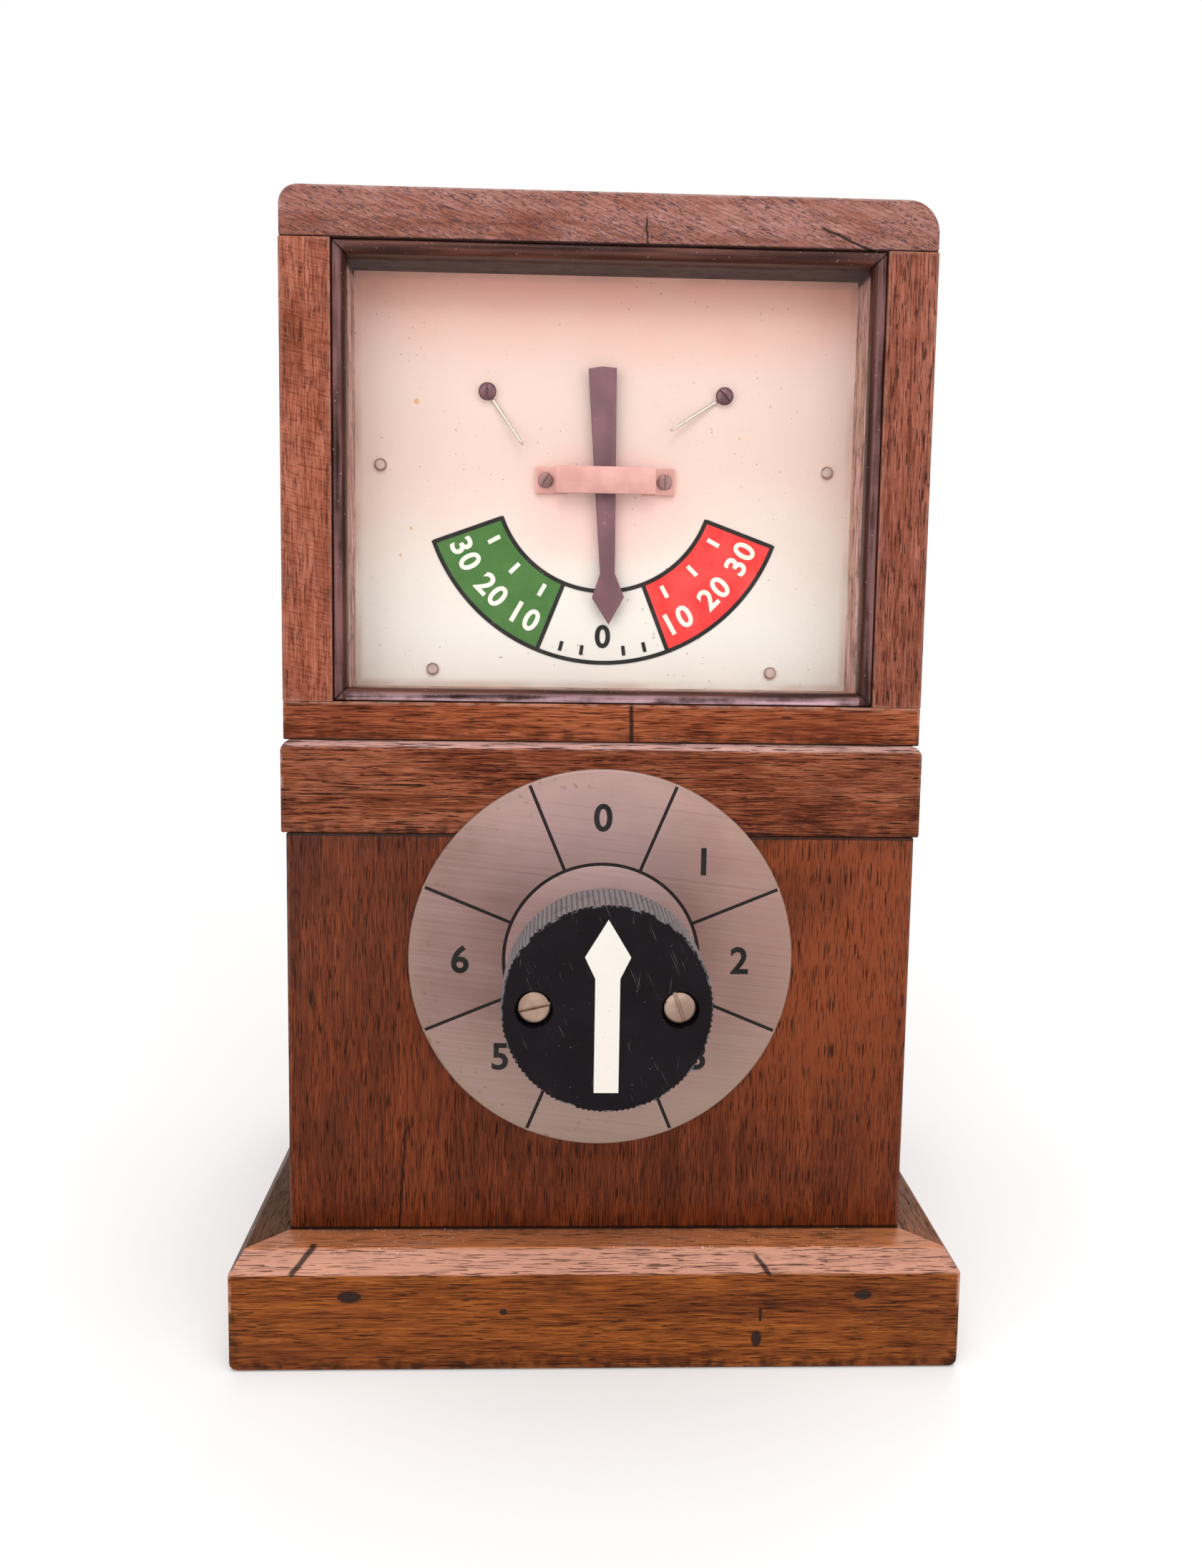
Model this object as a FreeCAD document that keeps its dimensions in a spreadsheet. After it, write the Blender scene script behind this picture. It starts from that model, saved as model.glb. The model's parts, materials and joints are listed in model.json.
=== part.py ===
import FreeCAD, Part
import math
import os
import re
import Sketcher
from FreeCAD import Placement, Rotation, Vector

# Block indicator: a two-storey hardwood case with a glazed needle dial above and
# a rotary commutator below. Millimetres. The origin is the centre of the
# underside of the plinth, +X is to the right of somebody facing the dial,
# +Y runs from the front to the back and +Z is up.

doc = FreeCAD.newDocument("block_indicator")
sheet = doc.addObject("Spreadsheet::Sheet", "sizes")

# Driving sizes, in millimetres, degrees or counts
SIZES = [
    # Lower case and base
    ("case_width", 180), ("case_depth", 160), ("board", 14), ("base_thickness", 12),
    ("plinth_overhang", 14.5), ("plinth_height", 34.5),
    ("plinth_bevel_run", 4), ("plinth_bevel_rise", 6),
    ("waist_bottom", 152.5), ("waist_height", 26.5), ("waist_overhang", 1.5),
    ("waist_rounding", 3), ("waist_easing", 1),
    ("cable_radius", 9), ("cable_inset", 24),
    ("wire_hole_radius", 10), ("wire_hole_inset", 35),
    # Upper case
    ("upper_overhang", 1), ("upper_setback", 2), ("upper_floor", 11),
    ("overall_height", 331), ("top_thickness", 14),
    ("top_left_rounding", 5.3), ("top_right_rounding", 9),
    ("back_panel_thickness", 8), ("back_rebate", 7), ("back_panel_gap", 0.4),
    ("back_screw_radius", 1.6), ("back_screw_head", 3.4), ("back_screw_rise", 1.6),
    ("back_screw_length", 14), ("back_screw_inset", 10),
    # Glazed opening and dial
    ("bead_width", 3.8), ("bead_depth", 4.6), ("bead_recess", 0.4),
    ("bead_nose", 2.1), ("bead_quirk", 1.2),
    ("glass_thickness", 2), ("glass_gap", 0.3), ("liner_width", 3),
    ("dial_setback", 25), ("dial_thickness", 1.5), ("dial_gap", 0.3),
    ("dial_board", 8), ("dial_hole_radius", 4),
    ("pin_radius", 1.85), ("pin_rise", 1.4), ("pin_shank", 0.9),
    ("upper_pin_inset", 10.6), ("upper_pin_rise", 3.8),
    ("lower_pin_span", 51), ("lower_pin_rise", 8.2),
    # Needle, its bridge and its stops
    ("pivot_rise", 1.1), ("needle_standoff", 3.7), ("needle_thickness", 1),
    ("needle_lean", 2.2), ("tail_length", 32.5), ("tail_half_width", 4.15),
    ("tail_crown", 0.5), ("waist_half_width", 2.95), ("neck_drop", 27.2),
    ("neck_half_width", 2.2), ("head_drop", 34.3), ("head_half_width", 4.8),
    ("tip_drop", 42.4),
    ("bridge_height", 7.8), ("bridge_standoff", 7.2), ("bridge_metal", 1.8),
    ("bridge_half_span", 14.7), ("bridge_foot_end", 20.6), ("bridge_leg", 3.4),
    ("bridge_screw_span", 17.7), ("bridge_screw_radius", 2.2),
    ("bridge_screw_rise", 1.1), ("bridge_screw_shank", 1.1),
    ("stop_screw_span", 35), ("stop_screw_level", 25.5),
    ("stop_screw_radius", 2.6), ("stop_screw_rise", 1.5), ("stop_screw_shank", 1.4),
    ("stop_wire", 0.42), ("stop_eye", 0.5), ("stop_hook", 2.2),
    ("left_stop_reach", 24.7), ("left_stop_level", 10.5),
    ("right_stop_reach", 19.5), ("right_stop_level", 15.2),
    ("arbor_radius", 1.5), ("pivot_radius", 0.8), ("pivot_depth", 1.2),
    ("running_clearance", 0.05), ("end_shake", 0.2), ("shoulder_gap", 0.3),
    ("collar_radius", 3), ("collar_length", 0.9),
    # Movement behind the dial
    ("movement_setback", 50), ("armature_radius", 19.5), ("armature_thickness", 6),
    ("armature_width", 14), ("armature_top", 9), ("air_gap", 1),
    ("plate_setback", 70), ("movement_plate", 2.5), ("movement_half_width", 64),
    ("movement_half_height", 30), ("pillar_radius", 3.5), ("pillar_span", 56),
    ("pillar_rise", 24), ("rear_screw_radius", 3), ("rear_screw_head", 5),
    ("rear_screw_rise", 2.5), ("rear_screw_reach", 3),
    ("shoe_length", 4.5), ("shoe_half_height", 11), ("shoe_depth", 12),
    ("core_radius", 5), ("coil_length", 33), ("flange_radius", 14),
    ("flange_thickness", 2), ("bobbin_wall", 1.5), ("winding_radius", 12.8),
    ("cheek_thickness", 3), ("cheek_half_height", 8),
    ("magnet_outer", 34), ("magnet_inner", 20), ("magnet_thickness", 10),
    ("magnet_centre_rise", 4), ("magnet_leg", 26),
    # Commutator: face plate, knob and spindle
    ("spindle_height", 116.5), ("face_plate_radius", 55.3), ("face_plate_thickness", 1.8),
    ("face_plate_edge", 0.4), ("ring_radius", 28), ("engraving_width", 0.9),
    ("engraving_depth", 0.4), ("positions", 8),
    ("knob_radius", 27.1), ("knob_length", 19.5), ("knob_distance", 43), ("knob_edge", 0.6),
    ("arrow_tip", 23.4), ("arrow_barb_rise", 13.6), ("arrow_barb", 5.9),
    ("arrow_neck_rise", 8), ("arrow_neck", 3.2), ("arrow_tail", 21.9),
    ("arrow_depth", 1),
    ("knob_screw_span", 18.6), ("knob_screw_radius", 4.15), ("knob_bore_radius", 4.9),
    ("knob_screw_recess", 1.5), ("knob_screw_head", 2.2), ("knob_screw_shank", 2),
    ("hub_flange_radius", 23.4), ("hub_flange", 4), ("hub_radius", 9),
    ("hub_gap", 0.3), ("journal_radius", 4), ("journal_tail", 2),
    ("bush_radius", 7), ("bush_flange_radius", 11), ("bush_flange", 2),
    # Drum, fingers, star wheel and detent
    ("drum_radius", 16), ("drum_setback", 22), ("drum_gap", 6), ("drum_margin", 2.5),
    ("segment_rise", 1.2), ("segment_gap", 3),
    ("segment_sweep", 135), ("contact_rows", 6), ("finger_gap", 0.3),
    ("finger_thickness", 0.6), ("finger_overrun", 6), ("finger_block_width", 20),
    ("finger_block_height", 14), ("finger_margin", 3), ("rivet_radius", 1.5),
    ("rivet_rise", 1), ("star_inset", 16), ("star_thickness", 6), ("star_radius", 20),
    ("notch_radius", 4.2), ("notch_distance", 21.5), ("nose_gap", 0.3),
    ("leaf_thickness", 0.8), ("leaf_inset", 0.5), ("leaf_lip", 8),
    ("post_reach", 42), ("post_half_width", 7), ("post_height", 12),
    ("leaf_screw_span", 3.5), ("leaf_screw_radius", 1.2), ("leaf_screw_head", 2.3),
    ("leaf_screw_rise", 1.5), ("leaf_screw_length", 8),
    ("bracket_inset", 66), ("bracket_thickness", 4), ("bracket_half_width", 50),
    ("bracket_rise", 32), ("bracket_corner", 10), ("bracket_foot", 16),
    # Terminals at the back
    ("terminal_inset", 42), ("terminal_board", 6), ("terminal_board_margin", 10),
    ("terminal_board_top", 96), ("terminal_columns", 5), ("terminal_pitch", 26),
    ("terminal_low_row", 58), ("terminal_high_row", 82), ("stud_radius", 2.2),
    ("stud_length", 17), ("hex_nut_radius", 5), ("hex_nut", 3),
    ("thumb_nut_radius", 5.5), ("thumb_nut", 5), ("thumb_nut_offset", 6),
    # Rear door, its hinges, knob and turn button
    ("door_thickness", 11.8), ("closing_gap", 0.2), ("door_rebate", 6), ("door_gap", 0.5),
    ("door_free_gap", 1),
    ("rail_rise", 2), ("hinge_radius", 2), ("hinge_pin", 0.9), ("hinge_stand", 2.3),
    ("hinge_leaf", 1.2), ("hinge_length", 24), ("hinge_knuckle_gap", 0.2),
    ("fixed_leaf_width", 7), ("moving_leaf_width", 13), ("hinge_clear", 0.4),
    ("hinge_low", 62), ("hinge_high", 127),
    ("door_knob_inset", 19), ("door_knob_height", 95), ("door_knob_radius", 7),
    ("door_knob_neck", 3), ("door_knob_base", 5), ("door_knob_length", 14),
    ("button_height", 124), ("button_width", 6.6), ("button_thickness", 2.4),
    ("button_reach", 15), ("button_gap", 0.3), ("button_screw_radius", 1.5),
    ("button_screw_head", 2.8), ("button_screw_rise", 1.2), ("button_screw_length", 10),
]
for row, (alias, value) in enumerate(SIZES, start=1):
    sheet.set("A%d" % row, alias)
    sheet.set("B%d" % row, str(value))
    sheet.setAlias("B%d" % row, alias)
doc.recompute()
ALIASES = {alias for alias, value in SIZES}

# Sizes that follow from the driving ones, so that the pieces keep their fit
DERIVED = {
    "upper_width": "case_width + 2 * upper_overhang",
    "pivot_height": "(waist_bottom + waist_height + upper_floor + overall_height"
                    " - top_thickness) / 2 + pivot_rise",
    "upper_pin_span": "upper_width / 2 - board - upper_pin_inset",
    "upper_pin_height": "pivot_height + upper_pin_rise",
    "lower_pin_height": "waist_bottom + waist_height + upper_floor + lower_pin_rise",
    "stop_screw_height": "pivot_height + stop_screw_level",
    "left_stop_height": "pivot_height + left_stop_level",
    "right_stop_height": "pivot_height + right_stop_level",
    "drum_length": "case_depth - drum_setback - bracket_inset - star_inset - drum_gap",
    "segment_pitch": "(drum_length - 2 * drum_margin + segment_gap) / contact_rows",
    "segment_width": "segment_pitch - segment_gap",
    "terminal_board_half_width": "case_width / 2 - board - terminal_board_margin",
    "door_knob_offset": "case_width / 2 - board + door_rebate - door_free_gap - door_knob_inset",
}

# Planes and places that several pieces share, as expressions on the sheet
CASE_FRONT = "(-case_depth / 2)"
CASE_BACK = "(case_depth / 2)"
HALF_CASE = "(case_width / 2)"
HALF_UPPER = "(upper_width / 2)"
UPPER_FRONT = "(-case_depth / 2 + upper_setback)"
WAIST_TOP = "(waist_bottom + waist_height)"
FLOOR_TOP = "(waist_bottom + waist_height + upper_floor)"
TOP_UNDERSIDE = "(overall_height - top_thickness)"
UPPER_INSIDE = "(upper_width / 2 - board)"
CASE_INSIDE = "(case_width / 2 - board)"
BEAD_FRONT = "(-case_depth / 2 + upper_setback + bead_recess)"
BEAD_BACK = "(-case_depth / 2 + upper_setback + bead_recess + bead_depth)"
GLASS_BACK = "(-case_depth / 2 + upper_setback + bead_recess + bead_depth + glass_thickness)"
DIAL_FACE = "(-case_depth / 2 + dial_setback)"
DIAL_BACK = "(-case_depth / 2 + dial_setback + dial_thickness)"
BOARD_BACK = "(-case_depth / 2 + dial_setback + dial_thickness + dial_board)"
NEEDLE_FRONT = "(-case_depth / 2 + dial_setback - needle_standoff)"
BRIDGE_BACK = "(-case_depth / 2 + dial_setback - bridge_standoff + bridge_metal)"
MOVEMENT = "(-case_depth / 2 + movement_setback)"
MOVEMENT_PLATE = "(-case_depth / 2 + plate_setback)"
FACE_PLATE_FRONT = "(-case_depth / 2 - face_plate_thickness)"
KNOB_FRONT = "(-case_depth / 2 - face_plate_thickness - knob_distance)"
KNOB_BACK = "(-case_depth / 2 - face_plate_thickness - knob_distance + knob_length)"
DRUM_FRONT = "(-case_depth / 2 + drum_setback)"
SEGMENT_RADIUS = "(drum_radius + segment_rise)"
BRACKET = "(case_depth / 2 - bracket_inset)"
STAR_FRONT = "(case_depth / 2 - bracket_inset - star_inset)"
STAR_BACK = "(case_depth / 2 - bracket_inset - star_inset + star_thickness)"
DETENT_HEIGHT = "(spindle_height + notch_distance)"
TERMINAL_FRONT = "(case_depth / 2 - terminal_inset)"
TERMINAL_BACK = "(case_depth / 2 - terminal_inset + terminal_board)"
RAIL_TOP = "(plinth_height + rail_rise)"
DOOR_SEAT = "(case_depth / 2 - door_thickness - closing_gap)"
DOOR_EDGE = "(case_width / 2 - board + door_rebate)"
HINGE_LINE = "(case_depth / 2 + hinge_stand)"


def linked(expression):
    """The expression with derived sizes spelled out and the others as cells of the sheet."""
    def spelled(match):
        word = match[0]
        if word in DERIVED:
            return "(%s)" % linked(DERIVED[word])
        return "sizes." + word if word in ALIASES else word
    return re.sub(r"[a-z][a-z_]*", spelled, str(expression))


def number(expression):
    """The value of an expression at the sheet's present sizes."""
    value = sheet.evalExpression(linked(expression))
    return float(getattr(value, "Value", value))


def bind(item, **properties):
    """Tie properties of an object to expressions; an underscore stands for a dot."""
    for name, expression in properties.items():
        item.setExpression(name.replace("__", "."), linked(expression))


def place(item, x="0", y="0", z="0", rotation=None):
    """Put an object at a bound place, turned by a fixed rotation."""
    if rotation is not None:
        item.Placement = Placement(Vector(), rotation)
    bind(item, Placement__Base__x=x, Placement__Base__y=y, Placement__Base__z=z)
    return item


ALONG_Y = Rotation(Vector(1, 0, 0), -90)
ALONG_X = Rotation(Vector(0, 1, 0), 90)


def block(name, x, y, z):
    """A rectangular board between two bounds on each axis."""
    box = doc.addObject("Part::Box", name)
    bind(box, Length="(%s) - (%s)" % (x[1], x[0]), Width="(%s) - (%s)" % (y[1], y[0]),
         Height="(%s) - (%s)" % (z[1], z[0]))
    return place(box, x[0], y[0], z[0])


def rod(name, radius, start, length, x="0", z="0", angle=None):
    """A round bar along Y, or a sector of one."""
    bar = doc.addObject("Part::Cylinder", name)
    bind(bar, Radius=radius, Height=length)
    if angle is not None:
        bind(bar, Angle=angle)
    return place(bar, x, start, z, ALONG_Y)


def crossbar(name, radius, start, length, y, z):
    """A round bar along X."""
    bar = doc.addObject("Part::Cylinder", name)
    bind(bar, Radius=radius, Height=length)
    return place(bar, start, y, z, ALONG_X)


def upright(name, radius, start, length, x, y):
    """A round bar along Z."""
    bar = doc.addObject("Part::Cylinder", name)
    bind(bar, Radius=radius, Height=length)
    return place(bar, x, y, start)


def fuse(name, *pieces):
    joined = doc.addObject("Part::MultiFuse", name)
    joined.Shapes = list(pieces)
    joined.Refine = True
    return joined


def cut(name, base, *tools):
    tool = tools[0] if len(tools) == 1 else fuse(name + "_tools", *tools)
    result = doc.addObject("Part::Cut", name)
    result.Base = base
    result.Tool = tool
    return result


def common(name, base, tool):
    result = doc.addObject("Part::Common", name)
    result.Base = base
    result.Tool = tool
    return result


def group(name, pieces):
    """Separate solids that share one node."""
    compound = doc.addObject("Part::Compound", name)
    compound.Links = list(pieces)
    return compound


def outline_sketch(body, name, plane, points):
    """A closed outline of straight lines whose corners are bound to the sheet."""
    sketch = body.newObject("Sketcher::SketchObject", name)
    support = [f for f in body.Origin.OriginFeatures if f.Role == plane][0]
    sketch.AttachmentSupport = (support, "")
    sketch.MapMode = "FlatFace"
    corners = [Vector(number(a), number(b), 0) for a, b in points]
    count = len(points)
    for i in range(count):
        sketch.addGeometry(Part.LineSegment(corners[i], corners[(i + 1) % count]), False)
    for i in range(count):
        sketch.addConstraint(Sketcher.Constraint("Coincident", i, 2, (i + 1) % count, 1))
    for i, (a, b) in enumerate(points):
        for kind, axis, value in (("DistanceX", -2, a), ("DistanceY", -1, b)):
            if str(value) == "0":
                sketch.addConstraint(Sketcher.Constraint("PointOnObject", i, 1, axis))
                continue
            place_of = sketch.addConstraint(
                Sketcher.Constraint(kind, -1, 1, i, 1, number(value)))
            sketch.setExpression("Constraints[%d]" % place_of, linked(value))
    return sketch


def padded(name, plane, points, length, backwards=False):
    """A body made by padding one outline."""
    body = doc.addObject("PartDesign::Body", name)
    pad = body.newObject("PartDesign::Pad", name + "_pad")
    pad.Profile = outline_sketch(body, name + "_outline", plane, points)
    bind(pad, Length=length)
    pad.Reversed = backwards
    doc.recompute()
    return body


def turned(name, points):
    """A body turned about its own Y axis from an outline of (y, radius) points."""
    body = doc.addObject("PartDesign::Body", name)
    sketch = outline_sketch(body, name + "_outline", "YZ_Plane", points)
    revolution = body.newObject("PartDesign::Revolution", name + "_turn")
    revolution.Profile = sketch
    revolution.ReferenceAxis = (sketch, ["H_Axis"])
    revolution.Angle = 360
    doc.recompute()
    return body


def edges_at(shape, test):
    """Names of the edges whose every corner and midpoint passes the test."""
    names = []
    for index, edge in enumerate(shape.Edges, start=1):
        middle = edge.valueAt((edge.FirstParameter + edge.LastParameter) / 2)
        points = [vertex.Point for vertex in edge.Vertexes] + [middle]
        if all(test(p) for p in points):
            names.append("Edge%d" % index)
    return names


def rounded(body, name, radius, test):
    """Round the chosen edges of a body's last feature."""
    tip = body.Tip
    names = edges_at(tip.Shape, test)
    fillet = body.newObject("PartDesign::Fillet", name)
    fillet.Base = (tip, names)
    bind(fillet, Radius=radius)
    body.Tip = fillet
    doc.recompute()
    return body


def near(value, expression):
    return abs(value - number(expression)) < 1e-4


# Base board and mitred plinth round the foot of the case
base_blank = block("base_blank", ("-" + HALF_CASE, HALF_CASE), (CASE_FRONT, CASE_BACK),
                   ("0", "base_thickness"))
base_board = cut("base_board", base_blank,
                 upright("cable_bore", "cable_radius", "-1", "base_thickness + 2",
                         "0", CASE_BACK + " - cable_inset"))


def plinth_moulding(name, half_run, depth, turn):
    """One mitred length of plinth with a bevelled top edge, then a flat ledge."""
    outer = "(-(%s) - plinth_overhang)" % depth
    far = "(%s + plinth_overhang)" % half_run
    strip = padded(name + "_strip", "XY_Plane",
                   [("-" + far, outer), (far, outer), (half_run, "-(%s)" % depth),
                    ("-" + half_run, "-(%s)" % depth)], "plinth_height")
    bevel = padded(name + "_bevel", "YZ_Plane",
                   [(outer, "plinth_height - plinth_bevel_rise"),
                    (outer + " + plinth_bevel_run", "plinth_height"),
                    (outer + " + plinth_bevel_run", "plinth_height + 1"),
                    (outer + " - 1", "plinth_height + 1"),
                    (outer + " - 1", "plinth_height - plinth_bevel_rise")],
                   "2 * %s + 2" % far)
    place(bevel, x="-%s - 1" % far)
    moulding = cut(name, strip, bevel)
    moulding.Placement = Placement(Vector(), Rotation(Vector(0, 0, 1), turn))
    return moulding


HALF_DEPTH = "(case_depth / 2)"
plinth_front = plinth_moulding("plinth_front", HALF_CASE, HALF_DEPTH, 0)
plinth_right = plinth_moulding("plinth_right", HALF_DEPTH, HALF_CASE, 90)
plinth_back = plinth_moulding("plinth_back", HALF_CASE, HALF_DEPTH, 180)
plinth_left = plinth_moulding("plinth_left", HALF_DEPTH, HALF_CASE, 270)

# Lower case: front panel, sides rebated for the door, and a rail under the door
front_blank = block("front_blank", ("-" + HALF_CASE, HALF_CASE),
                    (CASE_FRONT, CASE_FRONT + " + board"), ("base_thickness", "waist_bottom"))
lower_front_panel = cut("lower_front_panel", front_blank,
                        rod("front_bore", "bush_radius", CASE_FRONT + " - 1", "board + 2",
                            z="spindle_height"))


def lower_side(name, sign):
    """A side board with a stopped rebate for the rear door."""
    outer = HALF_CASE if sign > 0 else "-" + HALF_CASE
    inner = CASE_INSIDE if sign > 0 else "-" + CASE_INSIDE
    seat = DOOR_EDGE if sign > 0 else "-" + DOOR_EDGE
    low, high = (inner, outer) if sign > 0 else (outer, inner)
    blank = block(name + "_blank", (low, high), (CASE_FRONT + " + board", CASE_BACK),
                  ("base_thickness", "waist_bottom"))
    low, high = (inner + " - 1", seat) if sign > 0 else (seat, inner + " + 1")
    rebate = block(name + "_rebate", (low, high), (DOOR_SEAT, CASE_BACK + " + 1"),
                   (RAIL_TOP, "waist_bottom + 1"))
    tools = [rebate]
    if sign > 0:
        tools.append(rod("button_pilot", "button_screw_radius",
                         CASE_BACK + " - button_screw_length + button_gap + button_thickness",
                         "button_screw_length", BUTTON_X, "button_height"))
    return cut(name, blank, *tools)


BUTTON_X = "(case_width / 2 - board / 2 + door_rebate / 2)"
lower_left_side = lower_side("lower_left_side", -1)
lower_right_side = lower_side("lower_right_side", 1)
lower_back_rail = block("lower_back_rail", ("-" + CASE_INSIDE, CASE_INSIDE),
                        (CASE_BACK + " - board", CASE_BACK), ("base_thickness", RAIL_TOP))

# Waist board between the two storeys, its upper edges rounded over
waist = padded("waist_blank", "XY_Plane",
               [("-case_width / 2 - waist_overhang", CASE_FRONT),
                ("case_width / 2 + waist_overhang", CASE_FRONT),
                ("case_width / 2 + waist_overhang", CASE_BACK),
                ("-case_width / 2 - waist_overhang", CASE_BACK)], "waist_height")
rounded(waist, "waist_top_edges", "waist_rounding",
        lambda p: near(p.z, "waist_height") and not near(p.y, CASE_BACK)
        or near(p.z, "waist_height") and abs(p.x) > number(HALF_CASE))
rounded(waist, "waist_bottom_edge", "waist_easing",
        lambda p: near(p.z, "0") and near(p.y, CASE_FRONT))
place(waist, z="waist_bottom")
waist_board = cut("waist_board", waist,
                  upright("waist_wire_hole", "wire_hole_radius", "waist_bottom - 1",
                          "waist_height + 2", "0", CASE_BACK + " - wire_hole_inset"))

# Upper case: floor, sides rebated for the back panel, and the top board
floor_blank = block("floor_blank", ("-" + HALF_UPPER, HALF_UPPER), (UPPER_FRONT, CASE_BACK),
                    (WAIST_TOP, FLOOR_TOP))
upper_floor = cut("upper_floor_board", floor_blank,
                  upright("floor_wire_hole", "wire_hole_radius", WAIST_TOP + " - 1",
                          "upper_floor + 2", "0", CASE_BACK + " - wire_hole_inset"))

BACK_SCREW_X = "(upper_width / 2 - board + back_rebate / 2)"
BACK_SCREW_LEVELS = [FLOOR_TOP + " + back_screw_inset",
                     TOP_UNDERSIDE + " - back_screw_inset"]


def back_screw_bores(name, side):
    """Bores for the two screws of one side, shared by the panel and the case side."""
    return [rod("%s_bore_%d" % (name, i), "back_screw_radius",
                CASE_BACK + " - back_screw_length", "back_screw_length + 1",
                side + BACK_SCREW_X, level)
            for i, level in enumerate(BACK_SCREW_LEVELS, start=1)]


def upper_side(name, sign):
    """A side board of the upper case with a rebate for the back panel."""
    side = "" if sign > 0 else "-"
    bounds = [side + UPPER_INSIDE, side + HALF_UPPER]
    low, high = bounds if sign > 0 else bounds[::-1]
    blank = block(name + "_blank", (low, high), (UPPER_FRONT, CASE_BACK),
                  (FLOOR_TOP, TOP_UNDERSIDE))
    bounds = [side + "(upper_width / 2 - board - 1)",
              side + "(upper_width / 2 - board + back_rebate)"]
    low, high = bounds if sign > 0 else bounds[::-1]
    rebate = block(name + "_rebate", (low, high),
                   (CASE_BACK + " - back_panel_thickness", CASE_BACK + " + 1"),
                   (FLOOR_TOP + " - 1", TOP_UNDERSIDE + " + 1"))
    return cut(name, blank, rebate, *back_screw_bores(name, side))


upper_left_side = upper_side("upper_left_side", -1)
upper_right_side = upper_side("upper_right_side", 1)

top_board = padded("top_board", "XY_Plane",
                   [("-" + HALF_UPPER, UPPER_FRONT), (HALF_UPPER, UPPER_FRONT),
                    (HALF_UPPER, CASE_BACK), ("-" + HALF_UPPER, CASE_BACK)], "top_thickness")
rounded(top_board, "top_left_corner", "top_left_rounding",
        lambda p: near(p.z, "top_thickness") and near(p.x, "-" + HALF_UPPER))
rounded(top_board, "top_right_corner", "top_right_rounding",
        lambda p: near(p.z, "top_thickness") and near(p.x, HALF_UPPER))
place(top_board, z=TOP_UNDERSIDE)

panel_edge = "(upper_width / 2 - board + back_rebate - back_panel_gap)"
panel_blank = block("panel_blank", ("-" + panel_edge, panel_edge),
                    (CASE_BACK + " - back_panel_thickness", CASE_BACK),
                    (FLOOR_TOP + " + back_panel_gap", TOP_UNDERSIDE + " - back_panel_gap"))
upper_back_panel = cut("upper_back_panel", panel_blank,
                       *back_screw_bores("panel_left", "-"), *back_screw_bores("panel_right", ""))


def round_head_screw(name, head, rise, shank, length):
    """A round-head screw whose head seats at y = 0, with the shank towards -Y."""
    return turned(name, [("-(%s)" % length, "0"), ("-(%s)" % length, shank), ("0", shank),
                         ("0", head), ("0.45 * (%s)" % rise, head),
                         (rise, "0.62 * (%s)" % head), (rise, "0")])


back_panel_screws = group("back_panel_screws", [
    place(round_head_screw("back_screw_%d%d" % (i, j), "back_screw_head", "back_screw_rise",
                           "back_screw_radius", "back_screw_length"),
          side + BACK_SCREW_X, CASE_BACK, level)
    for i, side in enumerate(("-", "")) for j, level in enumerate(BACK_SCREW_LEVELS)])



# Glazing: mitred beads, the glass, and the liner strips back to the dial
def mitred_frame(name, width, start, depth, nose=None, quirk=None):
    """Four mitred strips round the inside of the glazed opening."""
    span, low, high = UPPER_INSIDE, FLOOR_TOP, TOP_UNDERSIDE
    lines = {
        "bottom": [("-" + span, low), (span, low), (span + " - " + width, low + " + " + width),
                   ("-" + span + " + " + width, low + " + " + width)],
        "top": [("-" + span, high), (span, high), (span + " - " + width, high + " - " + width),
                ("-" + span + " + " + width, high + " - " + width)],
        "left": [("-" + span, low), ("-" + span, high),
                 ("-" + span + " + " + width, high + " - " + width),
                 ("-" + span + " + " + width, low + " + " + width)],
        "right": [(span, low), (span, high), (span + " - " + width, high + " - " + width),
                  (span + " - " + width, low + " + " + width)],
    }
    strips = []
    for side, points in lines.items():
        strip = padded(name + "_" + side, "XZ_Plane", points, depth, backwards=True)
        if nose is not None:
            inner_x, inner_z = number(points[2][0]), number(points[2][1])
            outer_x, outer_z = number(points[0][0]), number(points[0][1])
            level = side in ("bottom", "top")
            rounded(strip, name + "_nose_" + side, nose,
                    lambda p: abs(p.y) < 1e-4
                    and abs((p.z - inner_z) if level else (p.x - inner_x)) < 1e-4)
            rounded(strip, name + "_quirk_" + side, quirk,
                    lambda p: abs(p.y) < 1e-4
                    and abs((p.z - outer_z) if level else (p.x - outer_x)) < 1e-4)
        strips.append(place(strip, y=start))
    return group(name, strips)


glazing_beads = mitred_frame("glazing_beads", "bead_width", BEAD_FRONT, "bead_depth",
                             "bead_nose", "bead_quirk")
glass = block("glass", ("-" + UPPER_INSIDE + " + glass_gap", UPPER_INSIDE + " - glass_gap"),
              (BEAD_BACK, GLASS_BACK),
              (FLOOR_TOP + " + glass_gap", TOP_UNDERSIDE + " - glass_gap"))
dial_liner = mitred_frame("dial_liner", "liner_width", GLASS_BACK,
                          DIAL_FACE + " - " + GLASS_BACK)

# Dial plate with the bores of its pins, bridge screws, stop screws and arbor
PIN_PLACES = [(side + "upper_pin_span", "upper_pin_height") for side in ("-", "")]
PIN_PLACES += [(side + "lower_pin_span", "lower_pin_height") for side in ("-", "")]
BRIDGE_SCREWS = [(side + "bridge_screw_span", "pivot_height") for side in ("-", "")]
STOP_SCREWS = [(side + "stop_screw_span", "stop_screw_height") for side in ("-", "")]


def dial_bores(name, places, radius):
    return [rod("%s_%d" % (name, i), radius, DIAL_FACE + " - 1", "dial_thickness + 2", x, z)
            for i, (x, z) in enumerate(places, start=1)]


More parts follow.
